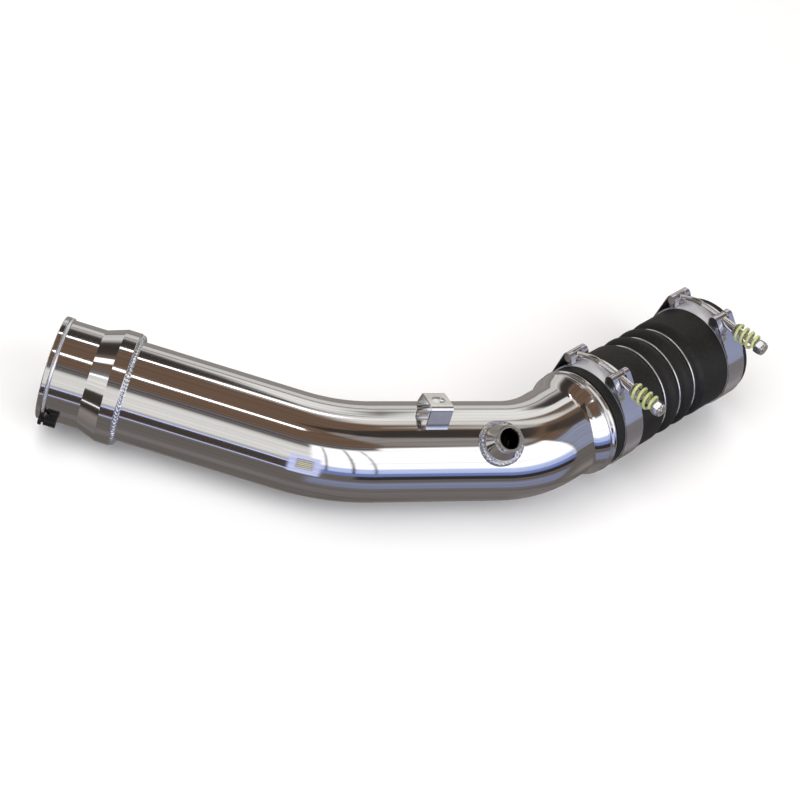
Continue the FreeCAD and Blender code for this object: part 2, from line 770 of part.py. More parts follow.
def loop_points(reach, height, side):
    """Corners of one folded loop, from the band's bend to the end of the tail on the band."""
    lean = "atan(%s / %s)" % (reach, height)
    distance = "sqrt(%s ^ 2 + %s ^ 2)" % (reach, height)
    rise = "(%s / (1 deg) - leg_lean)" % lean
    land = "((%s + acos((tail_radius - loop_radius) / %s)) / (1 deg))" % (lean, distance)
    tail = "(%s + band_tail)" % land
    step = "(%s * sin(leg_lean) - loop_radius)" % distance
    turn = "(%s + asin((%s + leg_round) / (band_radius + leg_round)) / (1 deg))" % (rise, step)
    foot = "((band_radius + leg_round) * cos(%s - %s))" % (turn, rise)

    def on_circle(radius, angle):
        return "%s%s * sin%s" % (side, radius, angle), "%s * cos%s" % (radius, angle)

    def on_leg(along):
        x = "%s(%s * sin%s + %s * cos%s)" % (side, along, rise, step, rise)
        y = "%s * cos%s - %s * sin%s" % (along, rise, step, rise)
        return x, y

    on_pin = ("%s(%s + loop_radius * sin%s)" % (side, reach, land),
              "%s + loop_radius * cos%s" % (height, land))
    return (on_circle("band_radius", turn), on_leg(foot), on_leg("%s * cos(leg_lean)" % distance),
            on_pin, on_circle("tail_radius", land), on_circle("tail_radius", tail), tail)


def make_strap(name, frame):
    """Band whose two ends are bent up and folded back over the pins, swept along its centre line."""
    right = loop_points("trunnion_reach", "bolt_offset", "")
    left = loop_points("head_reach", "head_offset", "-")
    corners = [right[5], right[4], right[3], right[2], right[1], right[0],
               left[0], left[1], left[2], left[3], left[4], left[5]]
    arcs = {
        0: ("tail_radius", 1, False),
        2: ("loop_radius", 1, False),
        4: ("leg_round", 1, False),
        5: ("band_radius", -1, True),
        6: ("leg_round", 1, False),
        8: ("loop_radius", 1, False),
        10: ("tail_radius", 1, False),
    }
    face_on = "rotation(vector(0; 0; 1); -90) * rotation(vector(1; 0; 0); 90)"
    spine = chain(free_sketch(name + "_line", spot("0", "0", "0", face_on)), corners, arcs,
                  closed=False)
    start = spot("0", "-tail_radius * sin%s" % right[6], "tail_radius * cos%s" % right[6],
                 "rotation(vector(1; 0; 0); 90 + %s)" % right[6])
    section = strip_section(name + "_section", "band_width", "band_thickness", start)
    band = sweep(name + "_band", section, spine, len(corners) - 1)
    near = primitive("Box", name + "_near_slot",
                     spot("-slot_width / 2", "-trunnion_reach - slot_reach", "slot_floor"),
                     Length="slot_width", Width="trunnion_reach + slot_reach", Height="slot_reach")
    far = primitive("Box", name + "_far_slot", spot("-slot_width / 2", "0", "slot_floor - head_drop"),
                    Length="slot_width", Width="head_reach + pin_clearance",
                    Height="head_drop + slot_reach")
    half_cut = boolean("Cut", name + "_near_cut", band, near)
    finish(boolean("Cut", name + "_cut", half_cut, far), name, frame)


def make_bolt(name, frame):
    """T-bolt: round cross head in the far loop and a shank bent down to it, with a chamfered end."""
    head = primitive("Cylinder", name + "_head",
                     spot("-pin_length / 2", "head_reach", "head_offset", ALONG_X),
                     Radius="pin_radius", Height="pin_length")
    corners = [
        ("bolt_end - bolt_chamfer", "bolt_offset"),
        ("bend_tangent - bolt_bend", "bolt_offset"),
        ("-bolt_bend - bend_tangent * cos(bend_slope)", "bolt_offset - bend_tangent * sin(bend_slope)"),
        ("-head_reach", "head_offset"),
    ]
    face_on = "rotation(vector(0; 0; 1); -90) * rotation(vector(1; 0; 0); 90)"
    spine = chain(free_sketch(name + "_line", spot("0", "0", "0", face_on)), corners,
                  {1: ("bolt_bend_radius", 1, False)}, closed=False)
    shoulder = spot("0", "bolt_chamfer - bolt_end", "bolt_offset", ALONG_BOLT)
    section = primitive("Circle", name + "_section", shoulder, Radius="bolt_diameter / 2")
    doc.recompute()
    shank = sweep(name + "_shank", section, spine, len(corners) - 1)
    tip = primitive("Cone", name + "_tip", shoulder, Radius1="bolt_diameter / 2",
                    Radius2="bolt_diameter / 2 - bolt_chamfer", Height="bolt_chamfer")
    rod = boolean("Fuse", name + "_rod", shank, tip)
    finish(boolean("Fuse", name + "_fuse", head, rod), name, frame)


def make_trunnion(name, frame):
    """Barrel in the near loop, drilled for the bolt and faced flat for the sleeve."""
    barrel = primitive("Cylinder", name + "_barrel",
                       spot("-pin_length / 2", "-trunnion_reach", "bolt_offset", ALONG_X),
                       Radius="pin_radius", Height="pin_length")
    drill = primitive("Cylinder", name + "_drill", spot("0", "0", "bolt_offset", ALONG_BOLT),
                      Radius="bolt_hole / 2", Height="2 * (trunnion_reach + pin_diameter)")
    facing = primitive("Box", name + "_facing",
                       spot("-slot_width / 2", "-sleeve_start - pin_diameter", "bolt_offset - pin_diameter"),
                       Length="slot_width", Width="pin_diameter", Height="2 * pin_diameter")
    drilled = boolean("Cut", name + "_drilled", barrel, drill)
    finish(boolean("Cut", name + "_faced", drilled, facing), name, frame)


def make_ring_on_bolt(name, outer, start, length, frame):
    """A sleeve or washer threaded on the bolt."""
    place = spot("0", "-(%s)" % start, "bolt_offset", ALONG_BOLT)
    finish(tube(name, outer, "bolt_hole / 2", length, place), name, frame)


def make_spring(name, frame):
    """Compression spring between the two washers."""
    coil_radius = "(spring_diameter - spring_wire) / 2"
    rise = "(spring_length - spring_wire)"
    line = primitive("Helix", name + "_line", ORIGIN, Radius=coil_radius, Height=rise,
                     Pitch="%s / spring_turns" % rise)
    section = primitive("Circle", name + "_section", spot(coil_radius, "0", "0", ALONG_BOLT),
                        Radius="spring_wire / 2")
    doc.recompute()
    coil = sweep(name + "_coil", section, line, len(line.Shape.Edges), frenet=True)
    seat = spot("0", "-spring_start - spring_wire / 2", "bolt_offset", ALONG_BOLT)
    finish(coil, name, frame + " * " + seat)


def make_nut(name, frame):
    """Hexagon lock nut with its round collar."""
    place = spot("0", "-nut_start", "bolt_offset", ALONG_BOLT)
    flats = primitive("Prism", name + "_flats", place + " * " + spot("0", "0", "0", HEX_TURN),
                      Circumradius="nut_across_flats / 2 / cos(30)", Height="nut_thickness")
    collar = primitive("Cylinder", name + "_collar",
                       spot("0", "-nut_collar_start", "bolt_offset", ALONG_BOLT),
                       Radius="nut_collar_diameter / 2", Height="nut_collar_length")
    drill = primitive("Cylinder", name + "_drill", place, Radius="bolt_diameter / 2 + joint_clearance",
                      Height="nut_thickness + nut_collar_length")
    solid = boolean("Fuse", name + "_solid", flats, collar)
    finish(boolean("Cut", name + "_cut", solid, drill), name, frame)


def make_clamp(prefix, position):
    """One clamp with all its pieces."""
    tilt = "rotation(vector(1; 0; 0); -clamp_tilt)"
    frame = LEG_THREE + " * " + spot(position, "0", "0", tilt)
    across = spot("-band_width / 2", "0", "0", ALONG_X)
    liner = tube(prefix + "_liner", "liner_outer", "liner_inner", "band_width", across)
    finish(liner, prefix + "_liner", frame)
    make_strap(prefix + "_strap", frame)
    make_bolt(prefix + "_bolt", frame)
    make_trunnion(prefix + "_trunnion", frame)
    make_ring_on_bolt(prefix + "_sleeve", "sleeve_diameter / 2", "sleeve_start", "sleeve_length", frame)
    for label, start in (("_washer_near", "first_washer"), ("_washer_far", "second_washer")):
        make_ring_on_bolt(prefix + label, "washer_diameter / 2", start, "washer_thickness", frame)
    make_spring(prefix + "_spring", frame)
    make_nut(prefix + "_nut", frame)


def check_and_write():
    """Refuse a failed object or an empty or invalid shape, then write one STEP file a node."""
    doc.recompute()
    for item in doc.Objects:
        if "Invalid" in item.State or "Error" in item.State:
            raise RuntimeError("%s failed: %s" % (item.Label, item.State))
    os.makedirs("parts", exist_ok=True)
    for item in nodes:
        shape = item.Shape
        if shape.isNull() or not shape.isValid() or not shape.Solids:
            raise RuntimeError("%s has no valid solid" % item.Label)
        shape.exportStep("parts/%s.step" % item.Label)


make_pipe()
make_collar()
make_collar_weld()
make_seal()
make_retaining_ring()
make_latch_peg()
make_bung()
make_bung_weld()
make_bracket()
make_boot()
make_valley_rings()
make_clamp("pipe_clamp", "boot_start + pipe_clamp_inset")
make_clamp("free_clamp", "-free_clamp_inset")
check_and_write()
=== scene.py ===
import json
import math

import bmesh
import bpy
from mathutils import Matrix, Vector, noise


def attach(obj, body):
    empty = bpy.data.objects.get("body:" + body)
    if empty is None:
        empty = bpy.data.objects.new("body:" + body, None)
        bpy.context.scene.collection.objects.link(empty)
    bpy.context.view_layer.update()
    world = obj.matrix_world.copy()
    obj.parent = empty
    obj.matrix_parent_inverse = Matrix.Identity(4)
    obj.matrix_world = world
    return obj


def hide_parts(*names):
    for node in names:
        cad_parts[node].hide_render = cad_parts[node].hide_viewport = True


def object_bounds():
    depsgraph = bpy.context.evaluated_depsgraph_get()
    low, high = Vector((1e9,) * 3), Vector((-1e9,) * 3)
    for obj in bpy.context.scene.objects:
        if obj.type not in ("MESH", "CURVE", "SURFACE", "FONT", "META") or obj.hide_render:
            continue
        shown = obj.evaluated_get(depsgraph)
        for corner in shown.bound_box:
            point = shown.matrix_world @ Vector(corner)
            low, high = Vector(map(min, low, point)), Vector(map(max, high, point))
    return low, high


# Looks for the charge-air pipe. All sizes are millimetres in the row frame, and every mesh
# is brought to metres when it is made.

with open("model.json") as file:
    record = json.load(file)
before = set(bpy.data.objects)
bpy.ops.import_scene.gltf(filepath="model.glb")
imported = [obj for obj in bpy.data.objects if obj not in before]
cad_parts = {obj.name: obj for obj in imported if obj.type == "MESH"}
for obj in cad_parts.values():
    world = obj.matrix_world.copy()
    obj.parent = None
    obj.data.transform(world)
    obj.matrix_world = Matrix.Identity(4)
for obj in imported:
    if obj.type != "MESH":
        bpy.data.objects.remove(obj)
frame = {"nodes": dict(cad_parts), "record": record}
cad_corners = [list(corner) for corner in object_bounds()]

MM = 0.001

# Tube
PIPE_RADIUS = 44.45
PIPE_WALL = 1.65
BORE_RADIUS = PIPE_RADIUS - PIPE_WALL
PIPE_START = 56.0
LEG_ONE = 251.5
LEG_TWO = 182.1
LEG_THREE = 256.4
BEND_ONE = 22.7
BEND_TWO = 30.2
BEND_ONE_RADIUS = 183.0
BEND_TWO_RADIUS = 99.0

# Double bead, measured from the coupler's free mouth
BOOT_LENGTH = 185.8
BEAD_END = -BOOT_LENGTH - 0.4
BEAD_START = BEAD_END - 23.0
SECOND_RIDGE = BEAD_END - 3.8
FIRST_RIDGE = SECOND_RIDGE - 6.6
RIDGE_HALF = 1.9
FIRST_RIDGE_RADIUS = PIPE_RADIUS + 5.1
SECOND_RIDGE_RADIUS = PIPE_RADIUS + 5.9
GROOVE_RADIUS = FIRST_RIDGE_RADIUS - 1.9
PIPE_END = 57.0 - BOOT_LENGTH

# Socket collar
RIM_RADIUS = 46.0
RIM_WIDTH = 4.6
CLIP_GROOVE_END = 7.6
CLIP_SEAT_RADIUS = 43.2
NECK_END = 36.6
CONE_END = 54.0
COLLAR_END = 66.6
SHOULDER_RADIUS = 50.5
SOCKET_RADIUS = 41.3
GLAND_RADIUS = 42.9
GLAND_START = 17.0
GLAND_END = 20.2
JOINT_CLEARANCE = 0.05
WELD_RUN = 4.2
WELD_RISE = 5.4

# Latch peg
CLIP_ANGLE = 106.0
PEG_RADIUS = 4.7
PEG_HEIGHT = PIPE_RADIUS + 0.55 + PEG_RADIUS
PEG_NECK_RADIUS = 2.6
PEG_HEAD_RADIUS = 5.3
PEG_HEAD = (4.7, 7.5)
PEG_DRUM = (9.5, 19.7)
PEG_FOOT = (11.7, 19.7)
PEG_FOOT_HALF = 2.8

# Sensor bung and its weld
BUNG_POSITION = 143.0
BUNG_ANGLE = 29.5
BUNG_BORE_RADIUS = 8.9
BUNG_THROAT_RADIUS = 7.5
BUNG_STEP = PIPE_RADIUS + 1.5
BUNG_FACE_RADIUS = 12.25
BUNG_FOOT_RADIUS = 16.5
BUNG_TOP = PIPE_RADIUS + 22.5
BUNG_STRAIGHT = 7.0
BUNG_FOOT_HEIGHT = 4.0
BUNG_CHAMFER = 0.7
BUNG_THREAD_PITCH = 1.5
BUNG_THREAD_DEPTH = 0.55
BUNG_WELD_WIDTH = 4.8
BUNG_WELD_HEIGHT = 3.0

# Bracket
BRACKET_POSITION = 84.5
BRACKET_WIDTH = 20.0
BRACKET_SHEET = 2.0
BRACKET_PLATE = 28.0
BRACKET_TILT = 24.5
BRACKET_FRONT = 7.0
BRACKET_CREST = 68.6
BRACKET_BACK_LEAN = 14.0
BRACKET_FRONT_LEAN = 5.0
BRACKET_BEND = 3.0
BRACKET_HOLE_RADIUS = 6.25

# Coupler
BOOT_WALL = 4.5
BOOT_RADIUS = PIPE_RADIUS + BOOT_WALL
VALLEY_PITCH = 20.8
VALLEY_DEPTH = 5.5
VALLEY_ROUND = 4.0
FREE_CUFF = 73.1
VALLEY_FLOOR = BOOT_RADIUS - VALLEY_DEPTH

# Clamps
PIPE_CLAMP_POSITION = 164.4
FREE_CLAMP_POSITION = 18.0
CLAMP_TILT = 7.5
BAND_WIDTH = 23.0
BAND_THICKNESS = 0.7
FIT_GAP = 0.12
LINER_OUTER = BOOT_RADIUS + FIT_GAP + 0.5
BAND_RADIUS = LINER_OUTER + FIT_GAP + BAND_THICKNESS / 2
TAIL_RADIUS = BAND_RADIUS + BAND_THICKNESS + 0.15
BAND_TAIL = 5.0
LEG_LEAN = 24.0
LEG_ROUND = 1.2
PIN_RADIUS = 4.6
PIN_LENGTH = 22.0
PIN_CLEARANCE = 0.1
LOOP_RADIUS = PIN_RADIUS + PIN_CLEARANCE + BAND_THICKNESS / 2
TRUNNION_REACH = 15.0
HEAD_REACH = 35.6
HEAD_LIFT = 0.8
BOLT_OFFSET = LINER_OUTER + 4.4
HEAD_OFFSET = math.sqrt((math.hypot(TRUNNION_REACH, BOLT_OFFSET) + HEAD_LIFT) ** 2 - HEAD_REACH ** 2)
BOLT_RADIUS = 3.175
BOLT_BEND = 14.8
BOLT_BEND_RADIUS = 30.0
BEND_SLOPE = math.atan2(BOLT_OFFSET - HEAD_OFFSET, HEAD_REACH - BOLT_BEND)
STRAIGHT_START = BOLT_BEND_RADIUS * math.tan(BEND_SLOPE / 2) - BOLT_BEND
BOLT_PITCH = 1.0
BOLT_THREAD_DEPTH = 0.5
BOLT_HOLE_RADIUS = BOLT_RADIUS + 0.15
SLEEVE_RADIUS = 4.4
SLEEVE_START = TRUNNION_REACH + 3.2
SLEEVE_END = SLEEVE_START + 15.6
WASHER_RADIUS = 6.5
WASHER_THICKNESS = 1.0
SPRING_START = SLEEVE_END + WASHER_THICKNESS
SPRING_END = SPRING_START + 25.6
NUT_START = SPRING_END + WASHER_THICKNESS
NUT_THICKNESS = 5.6
NUT_ACROSS_FLATS = 12.2
NUT_COLLAR_RADIUS = 5.9
NUT_COLLAR_LENGTH = 2.0
BOLT_END = NUT_START + NUT_THICKNESS + NUT_COLLAR_LENGTH + 0.6
SLOT_HALF = SLEEVE_RADIUS + 1.25
NEAR_SLOT_FLOOR = BOLT_OFFSET - SLEEVE_RADIUS - 0.2
FAR_SLOT_FLOOR = NEAR_SLOT_FLOOR - (BOLT_OFFSET - HEAD_OFFSET)
FAR_SLOT_END = HEAD_REACH + PIN_CLEARANCE


# Frames

def shift(x=0.0, y=0.0, z=0.0):
    return Matrix.Translation((x, y, z))


def turn(angle, axis):
    return Matrix.Rotation(math.radians(angle), 4, axis)


leg_two = shift(LEG_ONE) @ turn(BEND_ONE, "Z")
leg_three_start = leg_two @ shift(LEG_TWO) @ turn(BEND_TWO, "Z")
mouth = leg_three_start @ shift(LEG_THREE)
bung_frame = leg_two @ shift(BUNG_POSITION) @ turn(BUNG_ANGLE, "X")
bracket_frame = leg_two @ shift(BRACKET_POSITION)


def clamp_frame(position):
    return mouth @ shift(-position) @ turn(-CLAMP_TILT, "X")


def bolt_frame(clamp):
    """X along the clamp's bolt, from the loops towards the nut."""
    return clamp @ shift(0, 0, BOLT_OFFSET) @ turn(-90, "Z")


# Outlines and rings

def spread(start, stop, count):
    """Evenly spaced numbers, both ends included."""
    return [start + (stop - start) * i / (count - 1) for i in range(count)]


def rounded(corners, radius, closed=True, steps=5):
    """An outline with its corners rounded; a corner may carry its own radius as a third number."""
    points = [Vector(corner[:2]) for corner in corners]
    radii = [corner[2] if len(corner) > 2 else radius for corner in corners]
    result = []
    for i, here in enumerate(points):
        if not closed and i in (0, len(points) - 1):
            result.append(here)
            continue
        before = points[i - 1] - here
        after = points[(i + 1) % len(points)] - here
        half = before.angle(after) / 2
        if radii[i] <= 0 or abs(half - math.pi / 2) < 0.01:
            result.append(here)
            continue
        reach = min(radii[i] / math.tan(half), 0.45 * before.length, 0.45 * after.length)
        size = reach * math.tan(half)
        middle = (before.normalized() + after.normalized()).normalized()
        centre = here + middle * (size / math.sin(half))
        first = here + before.normalized() * reach - centre
        last = here + after.normalized() * reach - centre
        sweep = first.angle_signed(last)
        for t in spread(0, 1, steps):
            result.append(centre + Matrix.Rotation(-sweep * t, 2) @ first)
    return [(p.x, p.y) for p in result]


def arc(centre, radius, start, stop, count):
    """Points on a circle between two angles in degrees."""
    return [(centre[0] + radius * math.cos(math.radians(a)), centre[1] + radius * math.sin(math.radians(a)))
            for a in spread(start, stop, count)]


def shaped_ring(at, steps, place):
    """Points round a frame's X axis; place gives the X and the radius for an angle."""
    points = []
    for j in range(steps):
        angle = 2 * math.pi * j / steps
        x, radius = place(angle)
        points.append(at @ Vector((x, radius * math.cos(angle), radius * math.sin(angle))))
    return points


def ring(at, x, radius, steps):
    """A circle of points about a frame's X axis."""
    return shaped_ring(at, steps, lambda angle: (x, radius))


def thread(x, angle, pitch, depth):
    """How far a thread's flank lies from its root or crest."""
    phase = (x / pitch - angle / (2 * math.pi)) % 1.0
    return depth * (1 - abs(2 * phase - 1))


def bend_frames(corner, angle, radius, count):
    """Frames along the arc that rounds a corner at a frame's origin."""
    tangent = radius * math.tan(math.radians(angle) / 2)
    pivot = corner @ shift(-tangent, radius)
    return [pivot @ turn(a, "Z") @ shift(0, -radius) for a in spread(0, angle, count)]


# Meshes

def grid_mesh(name, rows, close_rows=True, close_columns=True, skip=None):
    """A mesh through rows of points, with a UV map in metres; skip leaves out a cell."""
    count = len(rows[0])
    row_total = len(rows) if close_rows else len(rows) - 1
    column_total = count if close_columns else count - 1
    along = [0.0]
    for i in range(1, len(rows) + 1):
        along.append(along[-1] + (rows[i % len(rows)][0] - rows[i - 1][0]).length)
    widest = max(rows, key=lambda row: (row[0] - row[count // 2]).length)
    across = [0.0]
    for j in range(1, count + 1):
        across.append(across[-1] + (widest[j % count] - widest[j - 1]).length)
    faces, uvs = [], []
    for i in range(row_total):
        for j in range(column_total):
            if skip and skip(i, j):
                continue
            i2, j2 = (i + 1) % len(rows), (j + 1) % count
            faces.append((i * count + j, i * count + j2, i2 * count + j2, i2 * count + j))
            for a, b in ((i, j), (i, j + 1), (i + 1, j + 1), (i + 1, j)):
                uvs.extend((across[b] * MM, along[a] * MM))
    mesh = bpy.data.meshes.new(name)
    mesh.from_pydata([tuple(p * MM) for row in rows for p in row], [], faces)
    mesh.uv_layers.new(name="UVMap").data.foreach_set("uv", uvs)
    return mesh


def tidy(mesh, sharp=40.0):
    """Outward faces, smooth shading and sharp edges where the surface really turns."""
    work = bmesh.new()
    work.from_mesh(mesh)
    bmesh.ops.remove_doubles(work, verts=work.verts, dist=1e-7)
    bmesh.ops.recalc_face_normals(work, faces=work.faces)
    work.to_mesh(mesh)
    work.free()
    mesh.polygons.foreach_set("use_smooth", [True] * len(mesh.polygons))
    mesh.set_sharp_from_angle(angle=math.radians(sharp))
    mesh.update()


def settle(item):
    """Apply an object's modifiers."""
    graph = bpy.context.evaluated_depsgraph_get()
    mesh = bpy.data.meshes.new_from_object(item.evaluated_get(graph))
    item.modifiers.clear()
    item.data = mesh


def modifier(item, kind, **settings):
    made = item.modifiers.new(kind.lower(), kind)
    for name, setting in settings.items():
        setattr(made, name, setting)
    return made


slot_of = {part["node"]: part["material_slot"] for part in frame["record"]["subparts"]}
finishes = {}


def as_object(name, mesh):
    item = bpy.data.objects.new(name, mesh)
    bpy.context.scene.collection.objects.link(item)
    return item


def dress(mesh, node, sharp=40.0):
    """Put a detailed mesh in place of a CAD node."""
    tidy(mesh, sharp)
    item = as_object(node + "_dressed", mesh)
    modifier(item, "WEIGHTED_NORMAL", mode="FACE_AREA", weight=50, keep_sharp=True)
    settle(item)
    item.data.materials.clear()
    item.data.materials.append(finishes[slot_of[node]])
    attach(item, "root")
    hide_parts(node)
    return item


def lathe(name, outline, at, steps=160):
    """An outline of (x, radius) points revolved about a frame's X axis."""
    return grid_mesh(name, [ring(at, x, r, steps) for x, r in outline])


def take_mesh(item):
    """An object's mesh, once the object itself is no longer needed."""
    mesh = item.data
    bpy.data.objects.remove(item)
    return mesh


def merge(first, second, fill=False):
    """Put a second mesh into the first; fill closes its open ends."""
    work = bmesh.new()
    work.from_mesh(first)
    work.from_mesh(second)
    if fill:
        bmesh.ops.holes_fill(work, edges=work.edges, sides=5)
    work.to_mesh(first)
    work.free()
    return first


def drill(item, at, radius, start, stop, steps):
    """Cut a round hole through an object, along a frame's X axis."""
    outline = ((start, 0.01), (start, radius), (stop, radius), (stop, 0.01))
    cutter = as_object("cutter", lathe("cutter", outline, at, steps))
    tidy(cutter.data)
    modifier(item, "BOOLEAN", operation="DIFFERENCE", object=cutter, solver="EXACT")
    settle(item)
    bpy.data.objects.remove(cutter)


# Tube and socket

def bead_outline():
    """Outside of the double bead, from the tube into it and back."""
    sag = 0.83
    first = FIRST_RIDGE_RADIUS - sag
    second = SECOND_RIDGE_RADIUS - sag
    centre_drop = 2.6
    side = math.degrees(math.asin(RIDGE_HALF / centre_drop))

    def ridge_top(along, radius):
        """Round top of one ridge."""
        return arc((along, radius - centre_drop), centre_drop, 90 + side, 90 - side, 11)[1:]

    smooth = rounded([(BEAD_START - 12, PIPE_RADIUS), (BEAD_START, PIPE_RADIUS, 25.0),
                      (FIRST_RIDGE - RIDGE_HALF, first, 0.6)], 0.6, closed=False, steps=8)
    smooth += ridge_top(FIRST_RIDGE, FIRST_RIDGE_RADIUS)
    valley = (FIRST_RIDGE + SECOND_RIDGE) / 2
    smooth += rounded([(FIRST_RIDGE + RIDGE_HALF, first), (valley, GROOVE_RADIUS, 1.2),
                       (SECOND_RIDGE - RIDGE_HALF, second)], 1.2, closed=False, steps=7)[1:]
    smooth += ridge_top(SECOND_RIDGE, SECOND_RIDGE_RADIUS)
    smooth += [(BEAD_END, PIPE_RADIUS)]
    return smooth


def make_pipe():
    """Tube with both bends, the double bead and the hole under the sensor bung."""
    steps = 224
    path = [shift(PIPE_START), shift(PIPE_START + 40)]
    path += bend_frames(shift(LEG_ONE), BEND_ONE, BEND_ONE_RADIUS, 33)
    path += bend_frames(leg_two @ shift(LEG_TWO), BEND_TWO, BEND_TWO_RADIUS, 41)
    outside = [ring(at, 0, PIPE_RADIUS, steps) for at in path]
    outside += [ring(mouth, x, r, steps) for x, r in bead_outline()]
    outside += [ring(mouth, PIPE_END, PIPE_RADIUS, steps)]
    hollow = GROOVE_RADIUS - PIPE_WALL
    inner_bead = rounded([(PIPE_END, BORE_RADIUS), (BEAD_END - PIPE_WALL, BORE_RADIUS),
                          (SECOND_RIDGE + RIDGE_HALF, hollow), (FIRST_RIDGE, hollow),
                          (BEAD_START + 1, BORE_RADIUS)], 2.0, closed=False)
    inside = [ring(mouth, x, r, steps) for x, r in inner_bead]
    inside += [ring(at, 0, BORE_RADIUS, steps) for at in reversed(path)]
    item = as_object("pipe_blank", grid_mesh("pipe", outside + inside))
    tidy(item.data)
    drill(item, bung_frame @ turn(-90, "Y"), BUNG_THROAT_RADIUS, 20, 60, 64)
    dress(take_mesh(item), "pipe")


def make_collar():
    """Turned socket with a small round on every edge."""
    tight = 0.25
    outline = rounded([
        (0.6, SOCKET_RADIUS, 0.2),
        (GLAND_START, SOCKET_RADIUS), (GLAND_START, GLAND_RADIUS), (GLAND_END, GLAND_RADIUS),
        (GLAND_END, SOCKET_RADIUS), (NECK_END, SOCKET_RADIUS, 1.0), (PIPE_START, BORE_RADIUS),
        (PIPE_START, PIPE_RADIUS + JOINT_CLEARANCE), (COLLAR_END, PIPE_RADIUS + JOINT_CLEARANCE),
        (COLLAR_END, SHOULDER_RADIUS, 0.6), (CONE_END, SHOULDER_RADIUS, 1.2),
        (NECK_END, PIPE_RADIUS, 1.2), (CLIP_GROOVE_END, PIPE_RADIUS),
        (CLIP_GROOVE_END, CLIP_SEAT_RADIUS), (RIM_WIDTH, CLIP_SEAT_RADIUS), (RIM_WIDTH, RIM_RADIUS, 0.35),
        (0, RIM_RADIUS, 0.9), (0, SOCKET_RADIUS + 0.6, 0.2),
    ], tight)
    dress(lathe("collar", outline, Matrix.Identity(4), 256), "collar")


def ripple(run, across, width, height, seed, puddle, swing):
    """Height of a weld's overlapping puddles at a place along and across the bead."""
    bow = 0.9 * (2 * across - 1) ** 2
    drift = 0.35 * noise.noise(Vector((run / 7.0, across, seed)))
    phase = (run / puddle + bow + drift) % 1.0
    lap = height * swing * (math.sqrt(max(0.0, 1 - (2 * phase - 1) ** 2)) - 0.5)
    grain = height * 0.10 * noise.noise(Vector((run / 0.9, across * width / 0.9, seed + 5)))
    swell = height * 0.10 * noise.noise(Vector((run / 9.0, seed, across)))
    return (lap + grain + swell) * math.sin(math.pi * across) ** 0.5


def make_collar_weld():
    """Fillet weld between the shoulder and the tube, laid as overlapping puddles."""
    steps = 1400
    rows = 13
    origin = Matrix.Identity(4)
    rings = [ring(origin, COLLAR_END - 0.4, PIPE_RADIUS - 0.3, steps)]
    for t in spread(0, 1, rows):
        lean = math.radians(90 * t)
        bulge = 0.86 + 0.14 * math.sin(2 * lean)

        def face(angle, t=t, lean=lean, bulge=bulge):
            lift = ripple(angle * PIPE_RADIUS, t, width=6.5, height=3.4, seed=3.0, puddle=3.2, swing=0.42)
            out = (WELD_RISE * bulge + lift) * math.cos(lean)
            run = (WELD_RUN * bulge + lift) * math.sin(lean)
            return COLLAR_END - 0.3 + run, PIPE_RADIUS - 0.1 + max(out, 0)

        rings.append(shaped_ring(origin, steps, face))
    rings.append(ring(origin, COLLAR_END + WELD_RUN - 0.3, PIPE_RADIUS - 0.5, steps))
    dress(grid_mesh("collar_weld", rings), "collar_weld", sharp=75)


def on_tube(along, side, lift):
    """A point of the bung's frame that lies above the tube's skin by a height."""
    reach = PIPE_RADIUS + lift
    lean = side / PIPE_RADIUS
    return Vector((along, reach * math.sin(lean), reach * math.cos(lean)))


def make_bung_weld():
    """Bead round the bung's foot, following the saddle of the tube."""
    steps = 420
    rows = []
    sunk = []
    width = BUNG_WELD_WIDTH + 0.8
    mean_radius = 19.0
    for t in spread(0, 1, 15):
        reach = BUNG_FOOT_RADIUS - 0.8 + width * t
        row = []
        for j in range(steps):
            angle = 2 * math.pi * j / steps
            dome = BUNG_WELD_HEIGHT * math.sin(math.pi * (0.12 + 0.88 * t)) ** 0.8
            lift = ripple(angle * mean_radius, 0.15 + 0.8 * t, width=5.0, height=3.2, seed=11.0,
                          puddle=3.7, swing=0.46)
            edge = 0.35 * noise.noise(Vector((math.cos(angle) * 5, math.sin(angle) * 5, 2.0))) * t
            span = reach + edge
            row.append(on_tube(span * math.cos(angle), span * math.sin(angle),
                               max(dome + lift, 0.0) - 0.05 - 0.3 * (t > 0.99)))
        rows.append(row)
    for reach in (BUNG_FOOT_RADIUS + BUNG_WELD_WIDTH - 0.4, BUNG_FOOT_RADIUS - 0.8):
        row = []
        for j in range(steps):
            angle = 2 * math.pi * j / steps
            row.append(on_tube(reach * math.cos(angle), reach * math.sin(angle), -0.8))
        sunk.append(row)
    rows = [[bung_frame @ p for p in row] for row in rows + sunk]
    dress(grid_mesh("bung_weld", rows), "bung_weld", sharp=75)


